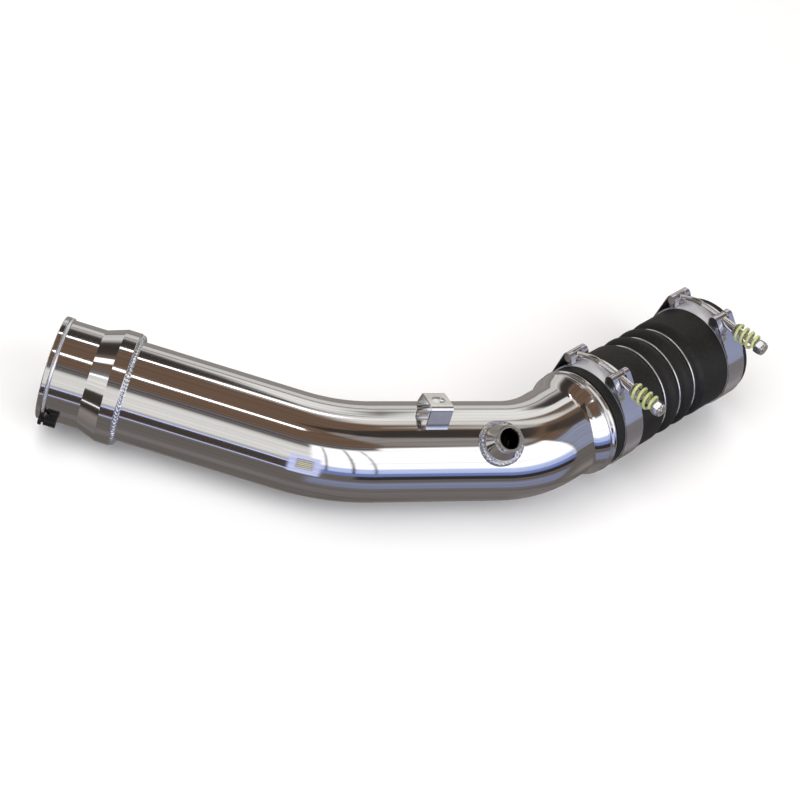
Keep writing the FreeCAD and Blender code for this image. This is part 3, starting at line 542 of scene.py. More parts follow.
def make_bung():
    """Sensor bung: conical foot, plain face and a fine thread in the bore."""
    steps = 144
    upright = turn(-90, "Y")
    chamfer = BUNG_CHAMFER
    outline = rounded([
        (PIPE_RADIUS - 1, BUNG_FOOT_RADIUS, 0), (PIPE_RADIUS + BUNG_FOOT_HEIGHT, BUNG_FOOT_RADIUS, 0.5),
        (BUNG_TOP - BUNG_STRAIGHT, BUNG_FACE_RADIUS, 0.6), (BUNG_TOP - chamfer, BUNG_FACE_RADIUS, 0.15),
        (BUNG_TOP, BUNG_FACE_RADIUS - chamfer, 0.15), (BUNG_TOP, BUNG_BORE_RADIUS + chamfer, 0.15),
        (BUNG_TOP - chamfer - 0.3, BUNG_BORE_RADIUS, 0.1),
    ], 0.3, closed=False)
    rows = [ring(upright, x, r, steps) for x, r in outline]
    outside_count = len(rows) * steps
    height = BUNG_TOP - chamfer - 0.5
    bottom = BUNG_STEP + 0.8
    rows_per_turn = 8
    count = int((height - bottom) / BUNG_THREAD_PITCH * rows_per_turn)
    for i in range(count):
        z = height - (height - bottom) * i / (count - 1)
        fade = min(1.0, 2.0 * i / rows_per_turn, 2.0 * (count - 1 - i) / rows_per_turn)
        depth = BUNG_THREAD_DEPTH * fade
        rows.append(shaped_ring(upright, steps, lambda angle, z=z, depth=depth: (
            z, BUNG_BORE_RADIUS + thread(z, angle, BUNG_THREAD_PITCH, depth))))
    for x, r in ((BUNG_STEP, BUNG_BORE_RADIUS), (BUNG_STEP, BUNG_THROAT_RADIUS + 0.2),
                 (BUNG_STEP - 0.2, BUNG_THROAT_RADIUS), (PIPE_RADIUS - 1, BUNG_THROAT_RADIUS)):
        rows.append(ring(upright, x, r, steps))
    for row in rows[:1] + rows[-1:]:
        for point in row:
            point.z = math.sqrt((PIPE_RADIUS - 0.8) ** 2 - point.y ** 2)
    mesh = grid_mesh("sensor_bung", [[bung_frame @ p for p in row] for row in rows])
    # painted shade: a weight on the bore's rows that grows deeper into the bore, so the bore is painted dark
    bore_shade = mesh.attributes.new("depth", "FLOAT", "POINT")
    shaded_rows = 22
    for number in range(outside_count, len(mesh.vertices)):
        bore_shade.data[number].value = min(1.0, (number - outside_count) / (shaded_rows * steps))
    dress(mesh, "sensor_bung")


# Folded strips

def strip_object(name, line, columns, at, skip=None):
    """A strip of sheet along a line of (across, up) points; columns are its places along X."""
    rows = [[at @ Vector((x, -a, b)) for x in columns] for a, b in line]
    return as_object(name, grid_mesh(name, rows, close_rows=False, close_columns=False, skip=skip))


def thicken(item, thickness):
    """Give a strip its sheet thickness."""
    modifier(item, "SOLIDIFY", thickness=thickness * MM, offset=0.0, use_even_offset=True)
    settle(item)


def softened(item, edge):
    """A thickened strip's mesh, with its cut edges softened."""
    modifier(item, "BEVEL", width=edge * MM, segments=2, limit_method="ANGLE", angle_limit=math.radians(50))
    settle(item)
    return take_mesh(item)


def make_bracket():
    """Folded bracket with its hole; both legs end on the tube."""
    tilt = math.radians(BRACKET_TILT)
    back = Vector((BRACKET_FRONT - BRACKET_PLATE * math.cos(tilt),
                   BRACKET_CREST - BRACKET_PLATE * math.sin(tilt)))
    front = Vector((BRACKET_FRONT, BRACKET_CREST))
    lean_back = math.radians(BRACKET_BACK_LEAN)
    lean_front = math.radians(BRACKET_FRONT_LEAN)
    back_way = Vector((-math.sin(lean_back), -math.cos(lean_back)))
    front_way = Vector((math.sin(lean_front), -math.cos(lean_front)))

    def foot(start, way):
        """Where a leg's line meets the tube, a little under its skin."""
        reach = 0.0
        while (start + way * reach).length > PIPE_RADIUS - 0.3:
            reach += 0.05
        return start + way * reach

    corners = [tuple(foot(back, back_way)), (back.x, back.y, BRACKET_BEND), (front.x, front.y, BRACKET_BEND),
               tuple(foot(front, front_way))]
    line = rounded(corners, 0, closed=False, steps=9)
    half = BRACKET_WIDTH / 2
    item = strip_object("bracket_strip", line, (-half, 0.0, half), bracket_frame)
    thicken(item, BRACKET_SHEET)
    middle = (back + front) / 2
    at = bracket_frame @ shift(0, -middle.x, middle.y) @ turn(-BRACKET_TILT, "X") @ turn(-90, "Y")
    drill(item, at, BRACKET_HOLE_RADIUS, -6, 6, 72)
    dress(softened(item, 0.22), "bracket")


# Coupler

def boot_outline(wall):
    """One skin of the coupler from its start to its free mouth, offset inwards by wall."""
    radius_sum = ((VALLEY_PITCH / 2) ** 2 + VALLEY_DEPTH ** 2) / (2 * VALLEY_DEPTH)
    hump = radius_sum - VALLEY_ROUND - wall
    valley = VALLEY_ROUND + wall
    lean = math.degrees(math.asin(VALLEY_PITCH / 2 / radius_sum))
    hump_centre = BOOT_RADIUS - (radius_sum - VALLEY_ROUND)
    valley_centre = VALLEY_FLOOR + VALLEY_ROUND
    points = []
    first = -FREE_CUFF - 2 * VALLEY_PITCH
    for number in range(4):
        x = first + (number - 0.5) * VALLEY_PITCH
        left = 90 if number == 0 else 90 + lean
        right = 90 if number == 3 else 90 - lean
        points += arc((x, hump_centre), hump, left, right, 14)
        if number < 3:
            low = first + number * VALLEY_PITCH
            points += arc((low, valley_centre), valley, 270 - lean, 270 + lean, 14)[1:-1]
    return points


def make_boot():
    """Silicone coupler with three convolutions."""
    outer = [(-BOOT_LENGTH, PIPE_RADIUS + 0.02)]
    outer += rounded([(-BOOT_LENGTH, PIPE_RADIUS + 1), (-BOOT_LENGTH, BOOT_RADIUS),
                      (-BOOT_LENGTH + 9, BOOT_RADIUS)], 0.9, closed=False)[1:-1]
    outer += boot_outline(0.0)
    outer += rounded([(-9, BOOT_RADIUS), (0, BOOT_RADIUS), (0, PIPE_RADIUS + 1)], 0.9, closed=False)[1:-1]
    outer += [(0, PIPE_RADIUS + 0.5), (-0.5, PIPE_RADIUS)]
    dress(lathe("boot", outer + boot_outline(BOOT_WALL)[::-1], mouth, 240), "coupler_boot")


# Clamp pieces

def loop_line(reach, height, side):
    """Centre line of one folded loop, from the tail's end over the pin and down its leg to the band."""
    lean = math.atan2(reach, height)
    distance = math.hypot(reach, height)
    rise = lean - math.radians(LEG_LEAN)
    land = lean + math.acos((TAIL_RADIUS - LOOP_RADIUS) / distance)
    hub = BAND_RADIUS + LEG_ROUND
    foot = rise + math.asin((distance * math.sin(lean - rise) - LOOP_RADIUS + LEG_ROUND) / hub)

    def around(across, up, radius, start, stop, count):
        return [(side * (across + radius * math.sin(w)), up + radius * math.cos(w))
                for w in spread(start, stop, count)]

    points = around(0, 0, TAIL_RADIUS, land + math.radians(BAND_TAIL), land, 6)
    points += around(reach, height, LOOP_RADIUS, land, rise - math.pi / 2, 40)
    points += around(hub * math.sin(foot), hub * math.cos(foot), LEG_ROUND,
                     rise - math.pi / 2, foot - math.pi, 8)
    return points, foot


def with_crossings(line, axis, level):
    """The line with a point added wherever it crosses a level of one coordinate."""
    result = [line[0]]
    for before, after in zip(line, line[1:]):
        rise = after[axis] - before[axis]
        share = (level - before[axis]) / rise if rise else 0.0
        if 0.01 < share < 0.99:
            result.append(tuple(b + (a - b) * share for b, a in zip(before, after)))
        result.append(after)
    return result


def make_strap(prefix, clamp):
    """Band whose ends stand up and fold back over the pins, slotted where the bolt runs through."""
    right, foot_right = loop_line(TRUNNION_REACH, BOLT_OFFSET, 1)
    left, foot_left = loop_line(HEAD_REACH, HEAD_OFFSET, -1)
    band = [(BAND_RADIUS * math.sin(w), BAND_RADIUS * math.cos(w))
            for w in spread(foot_right, 2 * math.pi - foot_left, 200)[1:-1]]
    line = right + band + left[::-1]
    for axis, level in ((1, NEAR_SLOT_FLOOR), (1, FAR_SLOT_FLOOR), (0, -FAR_SLOT_END)):
        line = with_crossings(line, axis, level)
    half = BAND_WIDTH / 2
    columns = (-half, -SLOT_HALF, SLOT_HALF, half)

    def in_slot(row, column):
        """Cells of the middle column that lie in either slot."""
        across = (line[row][0] + line[row + 1][0]) / 2
        up = (line[row][1] + line[row + 1][1]) / 2
        if across > 0:
            return column == 1 and up > NEAR_SLOT_FLOOR
        return column == 1 and up > FAR_SLOT_FLOOR and across > -FAR_SLOT_END

    item = strip_object("strap_strip", line, columns, clamp, in_slot)
    thicken(item, BAND_THICKNESS)
    dress(softened(item, 0.13), prefix + "_strap", sharp=50)


def pin_outline():
    """Half section of a round pin, about its own axis."""
    half = PIN_LENGTH / 2
    edge = 0.6
    return rounded([(-half, 0.01, 0), (-half, PIN_RADIUS), (half, PIN_RADIUS), (half, 0.01, 0)], edge)


def make_bolt(prefix, at):
    """T-bolt: cross head in the far loop, bent neck and a rolled thread up to the tip."""
    head_at = at @ shift(-HEAD_REACH, 0, HEAD_OFFSET - BOLT_OFFSET)
    head = lathe("head", pin_outline(), head_at @ turn(90, "Z"), 64)
    steps = 40
    slope = math.degrees(BEND_SLOPE)
    sloped = head_at @ turn(-slope, "Y")
    rows = [ring(sloped, 0, 0.01, steps), ring(sloped, 0, BOLT_RADIUS, steps)]
    pivot = at @ shift(STRAIGHT_START, 0, -BOLT_BEND_RADIUS)
    for angle in spread(slope, 0, 12):
        rows.append(ring(pivot @ turn(-angle, "Y") @ shift(0, 0, BOLT_BEND_RADIUS), 0, BOLT_RADIUS, steps))
    rows_per_turn = 7
    length = BOLT_END - STRAIGHT_START
    count = int(length / BOLT_PITCH * rows_per_turn)
    for i in range(1, count):
        x = STRAIGHT_START + length * i / (count - 1)
        point = max(0.0, x - (BOLT_END - 0.9)) * 0.9
        depth = BOLT_THREAD_DEPTH * min(1.0, i / rows_per_turn)
        rows.append(shaped_ring(at, steps, lambda angle, x=x, depth=depth, crest=BOLT_RADIUS - point: (
            x, crest - thread(x, angle, BOLT_PITCH, depth))))
    rows.append(ring(at, BOLT_END, 0.01, steps))
    dress(merge(head, grid_mesh("shank", rows, close_rows=False)), prefix + "_bolt")


def make_turned_pieces(prefix, at):
    """Sleeve and both washers, each with softened edges."""
    spans = (("_sleeve", SLEEVE_START, SLEEVE_END, SLEEVE_RADIUS, 0.4),
             ("_washer_near", SLEEVE_END, SPRING_START, WASHER_RADIUS, 0.3),
             ("_washer_far", SPRING_END, NUT_START, WASHER_RADIUS, 0.3))
    for label, start, stop, radius, edge in spans:
        outline = rounded([(start, BOLT_HOLE_RADIUS), (start, radius, edge), (stop, radius, edge),
                           (stop, BOLT_HOLE_RADIUS)], 0.15)
        dress(lathe(label, outline, at, 96), prefix + label)


def make_nut(prefix, at):
    """Hexagon nut with chamfered corners and its round locking collar."""
    steps = 144
    flat = NUT_ACROSS_FLATS / 2
    chamfer_radius = flat * 1.02
    end = NUT_START + NUT_THICKNESS
    stop = end + NUT_COLLAR_LENGTH

    def hexagon(angle):
        return flat / math.cos((angle + math.pi / 6) % (math.pi / 3) - math.pi / 6)

    def chamfered(start, way, inset, trim):
        """A ring along the chamfer of one end face."""
        def place(angle):
            size = hexagon(angle)
            return start + way * (max(0.0, size - chamfer_radius) * slope + inset), size - trim
        return shaped_ring(at, steps, place)

    slope = math.tan(math.radians(30))
    rows = [ring(at, NUT_START, BOLT_RADIUS, steps), ring(at, NUT_START, chamfer_radius - 0.2, steps),
            chamfered(NUT_START, 1, 0.05, 0.03), chamfered(NUT_START, 1, 0.2, 0.0),
            chamfered(end, -1, 0.2, 0.0), chamfered(end, -1, 0.05, 0.03),
            ring(at, end, chamfer_radius - 0.2, steps), ring(at, end, NUT_COLLAR_RADIUS, steps)]
    collar = rounded([(end, NUT_COLLAR_RADIUS), (stop, NUT_COLLAR_RADIUS, 0.7), (stop, BOLT_RADIUS)],
                     0.7, closed=False, steps=6)
    rows += [ring(at, x, radius, steps) for x, radius in collar[1:]]
    dress(grid_mesh("nut", rows), prefix + "_nut", sharp=28)


def make_latch_peg():
    """Moulded peg: head, neck and a ribbed drum on its foot."""
    at = turn(CLIP_ANGLE, "X") @ shift(0, 0, PEG_HEIGHT)
    drum_start, drum_end = PEG_DRUM
    head_start, head_end = PEG_HEAD
    corners = [(head_start, 0.01, 0), (head_start, PEG_HEAD_RADIUS, 0.6), (head_end, PEG_HEAD_RADIUS, 0.4),
               (head_end, PEG_NECK_RADIUS, 0.4), (drum_start, PEG_NECK_RADIUS, 0.4),
               (drum_start, PEG_RADIUS, 0.5)]
    ribs = 4
    for number in range(ribs):
        x = drum_start + (drum_end - drum_start) * (number + 1) / (ribs + 1)
        corners += [(x - 0.5, PEG_RADIUS, 0.2), (x - 0.3, PEG_RADIUS - 0.35, 0.1),
                    (x + 0.3, PEG_RADIUS - 0.35, 0.1), (x + 0.5, PEG_RADIUS, 0.2)]
    corners += [(drum_end, PEG_RADIUS, 0.5), (drum_end, 0.01, 0)]
    mesh = lathe("latch_peg", rounded(corners, 0.3), at, 72)
    half = PEG_FOOT_HALF
    seat = math.sqrt(PIPE_RADIUS ** 2 - half ** 2) - 0.05
    foot_at = turn(CLIP_ANGLE, "X")
    rows = []
    for x in (PEG_FOOT[0], PEG_FOOT[0] + 0.3, PEG_FOOT[1] - 0.6, PEG_FOOT[1] - 0.3):
        inset = 0.3 if x in (PEG_FOOT[0], PEG_FOOT[1] - 0.3) else 0.0
        side = half - inset
        section = ((-side, seat), (0, PIPE_RADIUS - 0.05), (side, seat), (side, PEG_HEIGHT),
                   (-side, PEG_HEIGHT))
        rows.append([foot_at @ Vector((x, y, z)) for y, z in section])
    foot = grid_mesh("latch_foot", rows, close_rows=False)
    dress(merge(mesh, foot, fill=True), "latch_peg")


# Finishes

def feed(socket, value):
    """Give a socket a constant, or link another node's output to it."""
    if isinstance(value, bpy.types.NodeSocket):
        socket.id_data.links.new(value, socket)
    else:
        socket.default_value = value


def range_node(tree, value, low, high, out_low, out_high, kind="LINEAR"):
    """A node that brings a value from one range to another."""
    made = tree.nodes.new("ShaderNodeMapRange")
    made.interpolation_type = kind
    for socket, setting in (("Value", value), ("From Min", low), ("From Max", high),
                            ("To Min", out_low), ("To Max", out_high)):
        feed(made.inputs[socket], setting)
    return made.outputs["Result"]


class Finish:
    """A material being put together round one Principled shader."""

    def __init__(self, name, colour, metallic=0.0, roughness=0.5, **sockets):
        self.material = bpy.data.materials.new(name)
        self.material.use_nodes = True
        self.tree = self.material.node_tree
        self.shader = self.tree.nodes["Principled BSDF"]
        self.shader.inputs["Base Color"].default_value = (*colour, 1)
        self.shader.inputs["Metallic"].default_value = metallic
        self.shader.inputs["Roughness"].default_value = roughness
        for socket, setting in sockets.items():
            self.shader.inputs[socket.replace("_", " ")].default_value = setting
        self.coords = self.tree.nodes.new("ShaderNodeTexCoord")

    def link(self, output, target):
        self.tree.links.new(output, target)

    def scaled(self, scale, source="Object"):
        """Coordinates stretched by a scale on each axis."""
        mapping = self.tree.nodes.new("ShaderNodeMapping")
        mapping.inputs["Scale"].default_value = scale
        self.link(self.coords.outputs[source], mapping.inputs["Vector"])
        return mapping.outputs["Vector"]

    def noise(self, scale, detail=3.0, rough=0.5, source="Object"):
        """Noise with its own stretch; the scale is in cycles a metre."""
        made = self.tree.nodes.new("ShaderNodeTexNoise")
        made.inputs["Scale"].default_value = 1.0
        made.inputs["Detail"].default_value = detail
        made.inputs["Roughness"].default_value = rough
        self.link(self.scaled(scale, source), made.inputs["Vector"])
        return made.outputs["Fac"]

    def ranged(self, value, low, high, out_low, out_high):
        return range_node(self.tree, value, low, high, out_low, out_high)

    def math(self, operation, first, second):
        made = self.tree.nodes.new("ShaderNodeMath")
        made.operation = operation
        feed(made.inputs[0], first)
        feed(made.inputs[1], second)
        return made.outputs["Value"]

    def mixed(self, share, first, second):
        """Two colours mixed by a varying share; the first may be another node's output."""
        made = self.tree.nodes.new("ShaderNodeMix")
        made.data_type = "RGBA"
        feed(made.inputs["A"], first if isinstance(first, bpy.types.NodeSocket) else (*first, 1))
        made.inputs["B"].default_value = (*second, 1)
        self.link(share, made.inputs["Factor"])
        return made.outputs["Result"]

    def colour(self, output):
        self.link(output, self.shader.inputs["Base Color"])

    def rough(self, output):
        self.link(output, self.shader.inputs["Roughness"])

    def bump(self, height, strength, distance):
        """Add a bump on top of those already there; distance is in millimetres."""
        made = self.tree.nodes.new("ShaderNodeBump")
        made.inputs["Strength"].default_value = strength
        made.inputs["Distance"].default_value = distance * MM
        self.link(height, made.inputs["Height"])
        normal = self.shader.inputs["Normal"]
        if normal.links:
            self.link(normal.links[0].from_socket, made.inputs["Normal"])
        self.link(made.outputs["Normal"], normal)


def polished(name, colour, grain, source="UV", low=0.03, high=0.09, waviness=0.02, metallic=1.0):
    """Polished metal: polishing lines along one direction and a faint unevenness."""
    made = Finish(name, colour, metallic=metallic)
    lines = made.noise(grain, detail=5.0, rough=0.65, source=source)
    haze = made.noise((28, 28, 28), detail=2.0)
    dull = made.ranged(haze, 0.3, 0.8, 0.0, 0.03)
    made.rough(made.math("ADD", made.ranged(lines, 0.35, 0.7, low, high), dull))
    darker = tuple(channel * 0.93 for channel in colour)
    made.colour(made.mixed(made.ranged(lines, 0.3, 0.7, 0.0, 1.0), colour, darker))
    made.bump(lines, waviness, 0.05)
    return made.material


def weld_metal():
    """Bright weld with a faint straw and blue tint from the heat."""
    made = Finish("weld_metal", (0.90, 0.91, 0.95), metallic=0.95)
    spots = made.noise((260, 260, 260), detail=4.0)
    made.rough(made.ranged(spots, 0.3, 0.7, 0.05, 0.16))
    tint = made.noise((90, 90, 90), detail=2.0)
    blue = made.mixed(made.ranged(tint, 0.45, 0.65, 0.0, 0.7), (0.88, 0.88, 0.90), (0.62, 0.70, 0.95))
    straw = made.noise((70, 70, 70), detail=2.0)
    made.colour(made.mixed(made.ranged(straw, 0.55, 0.72, 0.0, 0.5), blue, (0.80, 0.68, 0.50)))
    made.bump(made.noise((420, 420, 420), detail=2.0), 0.6, 0.5)
    return made.material


def bung_metal():
    """Turned metal, with painted shade darkening the inside of the bore."""
    made = Finish("bung_metal", (0.80, 0.79, 0.78), metallic=1.0)
    lines = made.noise((30, 4800, 1), detail=5.0, source="UV")
    made.rough(made.ranged(lines, 0.35, 0.7, 0.07, 0.17))
    # painted shade: the depth weight blends the bore's colour to near black
    inside = made.tree.nodes.new("ShaderNodeAttribute")
    inside.attribute_name = "depth"
    made.colour(made.mixed(inside.outputs["Fac"], (0.80, 0.79, 0.78), (0.015, 0.014, 0.013)))
    made.bump(lines, 0.03, 0.05)
    return made.material


def brushed(name, colour, roughness, metallic=1.0, dents=0.06):
    """Plain steel with a fine even grain."""
    grain = (900, 900, 900)
    made = Finish(name, colour, metallic=metallic)
    lines = made.noise(grain, detail=4.0)
    made.rough(made.ranged(lines, 0.3, 0.7, roughness * 0.8, roughness * 1.3))
    cloud = made.noise((60, 60, 60), detail=3.0)
    darker = tuple(channel * 0.86 for channel in colour)
    made.colour(made.mixed(made.ranged(cloud, 0.35, 0.7, 0.0, 1.0), colour, darker))
    made.bump(lines, dents, 0.03 + 0.1 * dents)
    return made.material


def silicone():
    """Matte silicone with the imprint of the wrapping cloth."""
    made = Finish("silicone", (0.012, 0.0115, 0.011), roughness=0.55, Specular_IOR_Level=0.42)
    cloth = made.tree.nodes.new("ShaderNodeTexWave")
    cloth.wave_type = "BANDS"
    cloth.inputs["Scale"].default_value = 420.0
    cloth.inputs["Distortion"].default_value = 1.5
    cloth.inputs["Detail"].default_value = 2.0
    made.link(made.coords.outputs["UV"], cloth.inputs["Vector"])
    grain = made.noise((2600, 2600, 2600), detail=4.0)
    coarse = made.noise((420, 420, 420), detail=4.0, rough=0.6)
    patch = made.noise((22, 22, 22), detail=4.0)
    dusty = made.mixed(made.ranged(patch, 0.35, 0.75, 0.0, 0.6), (0.0075, 0.0073, 0.0072),
                       (0.017, 0.016, 0.0155))
    made.colour(made.mixed(made.ranged(coarse, 0.52, 0.75, 0.0, 0.5), dusty, (0.034, 0.031, 0.029)))
    made.rough(made.ranged(patch, 0.3, 0.7, 0.46, 0.62))
    made.bump(cloth.outputs["Fac"], 0.12, 0.15)
    made.bump(grain, 0.35, 0.10)
    made.bump(coarse, 0.25, 0.25)
    return made.material


def moulded(name, colour, roughness):
    """Satin moulded plastic or rubber."""
    made = Finish(name, colour, roughness=roughness)
    grain = made.noise((1800, 1800, 1800), detail=3.0)
    cloud = made.noise((120, 120, 120), detail=3.0)
    lighter = tuple(min(1.0, channel * 1.7 + 0.004) for channel in colour)
    made.colour(made.mixed(made.ranged(cloud, 0.45, 0.8, 0.0, 0.7), colour, lighter))
    made.rough(made.ranged(grain, 0.3, 0.7, roughness * 0.85, roughness * 1.15))
    made.bump(grain, 0.2, 0.06)
    return made.material


def spring_coating():
    """Yellow-green coating on the springs, a little thinner and paler in places."""
    made = Finish("spring_coating", (0.50, 0.56, 0.17), roughness=0.28, Coat_Weight=0.8, Coat_Roughness=0.08)
    cloud = made.noise((240, 240, 240), detail=4.0)
    made.colour(made.mixed(made.ranged(cloud, 0.35, 0.7, 0.0, 1.0), (0.43, 0.47, 0.17), (0.58, 0.61, 0.31)))
    made.rough(made.ranged(cloud, 0.3, 0.7, 0.2, 0.34))
    made.bump(made.noise((1500, 1500, 1500)), 0.15, 0.05)
    return made.material


def make_finishes():
    """One material for each slot; the CAD pieces get theirs at once.

    The slots are written out, because the frame's own materials already hold these names in Blender.
    """
    finishes.update({
        "polished_tube": polished("polished_tube", (0.90, 0.90, 0.92), (4200, 14, 1)),
        "turned_collar": polished("turned_collar", (0.89, 0.89, 0.91), (20, 5200, 1), low=0.04, high=0.10),
        "weld_bead": weld_metal(),
        "seal_rubber": moulded("seal_rubber", (0.012, 0.012, 0.012), 0.45),
        "ring_steel": brushed("ring_steel", (0.92, 0.93, 0.97), 0.10, metallic=0.75, dents=0.9),
        "peg_plastic": moulded("peg_plastic", (0.002, 0.002, 0.002), 0.40),
        "bung_metal": bung_metal(),
        "bracket_steel": brushed("bracket_steel", (0.96, 0.95, 0.94), 0.10, metallic=0.94),
        "hose_silicone": silicone(),
        "valley_steel": brushed("valley_steel", (0.92, 0.92, 0.95), 0.12, metallic=0.8),
        "liner_steel": polished("liner_steel", (0.90, 0.91, 0.95), (5200, 18, 1), low=0.25, high=0.38,
                                metallic=0.6),
        # painted reflection: the strap's blue tint stands in for the lavender light the band reflects
        "strap_steel": polished("strap_steel", (0.86, 0.87, 0.97), (5200, 18, 1), low=0.07, high=0.15,
                                metallic=0.95),
        "bolt_steel": brushed("bolt_steel", (0.86, 0.84, 0.83), 0.10),
        "sleeve_steel": brushed("sleeve_steel", (0.88, 0.87, 0.87), 0.08),
        "washer_steel": brushed("washer_steel", (0.74, 0.73, 0.73), 0.22),
        "spring_paint": spring_coating(),
        "nut_steel": brushed("nut_steel", (0.88, 0.88, 0.88), 0.10, metallic=0.93),
    })
    for node, item in frame["nodes"].items():
        item.data.materials.clear()
        item.data.materials.append(finishes[slot_of[node]])
        item.data.polygons.foreach_set("use_smooth", [True] * len(item.data.polygons))
        item.data.set_sharp_from_angle(angle=math.radians(35))


# Surroundings

def panel(azimuth, half_width, low, high, colour, gain=1.0, below=1.0, above=1.0, side=3.0):
    """A panel of the room, in degrees; below, above and side are the softness of its edges.

    Azimuth 0 is behind the object, 90 to its right and 180 in front of it.
    """
    return {"azimuth": azimuth, "half_width": half_width, "low": low, "high": high, "colour": colour,
            "gain": gain, "below": below, "above": above, "side": side}


FLOOR_GREY = (0.41, 0.385, 0.37)
WALL_GREY = (0.45, 0.43, 0.42)
PALE_GREY = (0.56, 0.54, 0.52)
BROWN = (0.42, 0.34, 0.28)
DARK_BROWN = (0.27, 0.235, 0.21)
DARK = (0.24, 0.215, 0.20)
CREAM = (0.88, 0.87, 0.85)
WHITE = (1.0, 1.0, 1.0)
LAVENDER = (0.78, 0.82, 1.0)
SKY = (0.74, 0.79, 0.93)
BLUE = (0.44, 0.50, 0.72)
BLUE_GREY = (0.50, 0.52, 0.61)

# Later panels cover earlier ones
PANELS = [
    # The room in broad tones
    panel(0, 180, -90, 0, FLOOR_GREY),
    panel(0, 180, -68, -52, (0.46, 0.44, 0.43), below=6, above=6),
    panel(0, 180, 0, 44, WALL_GREY),
    panel(0, 180, 46, 90, BROWN, below=4),
    # Behind the object: pale wall, dark soffit, and a bright opening to its right
    panel(0, 75, -45, -2, PALE_GREY, below=8, side=12),
    panel(0, 75, -1.5, 20, (0.82, 0.81, 0.79), above=6),
    panel(3, 7, 18, 55, (0.92, 0.91, 0.89), below=3, above=2, side=1.0),
    panel(-31, 29, 24, 35, DARK, below=7, side=1.0),
    panel(-31, 30, 33, 41, DARK, side=1.0),
    panel(-31, 31.5, 39, 45, DARK, above=2, side=1.0),
    panel(-5, 12, 12.5, 15.5, (0.50, 0.48, 0.46), side=2),
    panel(19, 14, 50, 60, (0.84, 0.82, 0.79), above=3),
    panel(31, 8, 58, 66, (0.68, 0.66, 0.63)),
    panel(66, 28, 61, 90, DARK, below=2),
    panel(58, 12, 42, 58, DARK_BROWN, side=6),
    panel(105, 16, 55, 82, PALE_GREY, below=2, side=5),
    # Strip lamps overhead
    panel(-7, 9, 47.4, 51.6, WHITE, gain=2.4, below=0.4, above=0.4, side=0.6),
    panel(-12, 14, 52.6, 54.0, (0.20, 0.17, 0.15), below=0.4, above=0.4),
    panel(200, 35, 78.6, 82.2, WHITE, gain=2.4, below=0.4, above=0.4, side=2),
    panel(-77, 7, 47.2, 49.2, WHITE, gain=2.0, below=0.5, above=0.5, side=2),
    panel(-77, 9, 55, 64, WHITE, gain=1.2),
    panel(-118, 5, 38.0, 40.2, WHITE, gain=2.0, below=0.5, above=0.5, side=2),
    # In front: a cream wall over a dark base with two pale edges
    panel(188, 54, 45, 58, (0.36, 0.33, 0.30), below=3, side=5),
    panel(188, 54, 49.8, 50.6, BLUE_GREY, below=0.3, above=0.3),
    panel(188, 54, 55.6, 56.4, BLUE_GREY, below=0.3, above=0.3),
    panel(188, 54, 3, 44, CREAM, above=4.5, side=5),
    panel(188, 54, 3, 8, (0.58, 0.57, 0.55), above=4, side=5),
    panel(203, 26, 1.8, 4.6, LAVENDER, gain=1.1, below=0.4, above=0.4),
    panel(209, 35, -14, 1.8, DARK_BROWN, below=0.5, above=0.5),
    panel(203, 26, -17.2, -14.6, (0.74, 0.77, 0.90), below=0.5, above=0.5),
    panel(222, 22, -52, -26, (0.52, 0.49, 0.47), below=8, above=3, side=4),
    panel(222, 22, -22, 15, DARK, side=3),
    panel(222, 22, -9.5, -7.0, WHITE, gain=1.3, below=0.5, above=0.5),
    # To the right: a pale column, then a tall window over a dark sill
    panel(79, 13, 1, 42, (0.55, 0.57, 0.65), side=4),
    panel(131, 38, -1, 51, WHITE, gain=1.3, below=0.6, above=2, side=1.5),
    panel(131, 38, 1, 11, SKY, above=2.5, side=1.5),
    panel(131, 38, -7, 1, BLUE, side=1.5),
    panel(122, 29, -15, -7, (0.20, 0.19, 0.18), side=2),
    panel(131, 38, -40, -23, BLUE_GREY, below=8, above=2, side=3),
    panel(143, 0.5, -1, 50, DARK_BROWN, side=0.3),
    panel(152, 0.6, -1, 50, DARK_BROWN, side=0.3),
    panel(163, 0.5, -1, 50, DARK_BROWN, side=0.3),
    panel(122, 9, 45, 55, WHITE, gain=1.3, above=1.5, side=1.5),
    panel(171.5, 6.5, -20, 22, (0.80, 0.83, 0.98), side=0.8),
    panel(171.5, 3.4, -9, 15, (0.50, 0.48, 0.42), below=0.4, above=0.4, side=0.5),
] + [
    # A ribbed plate beside the window
    panel(171.5, 3.0, low, low + 2.2, (0.90, 0.88, 0.80), below=0.4, above=0.4, side=0.4)
    for low in (-7.5, -3.1, 1.3, 5.7, 10.1)
]


def linear(colour):
    """A colour as the eye sees it on a screen, as light."""
    return [c / 12.92 if c <= 0.04045 else ((c + 0.055) / 1.055) ** 2.4 for c in colour]


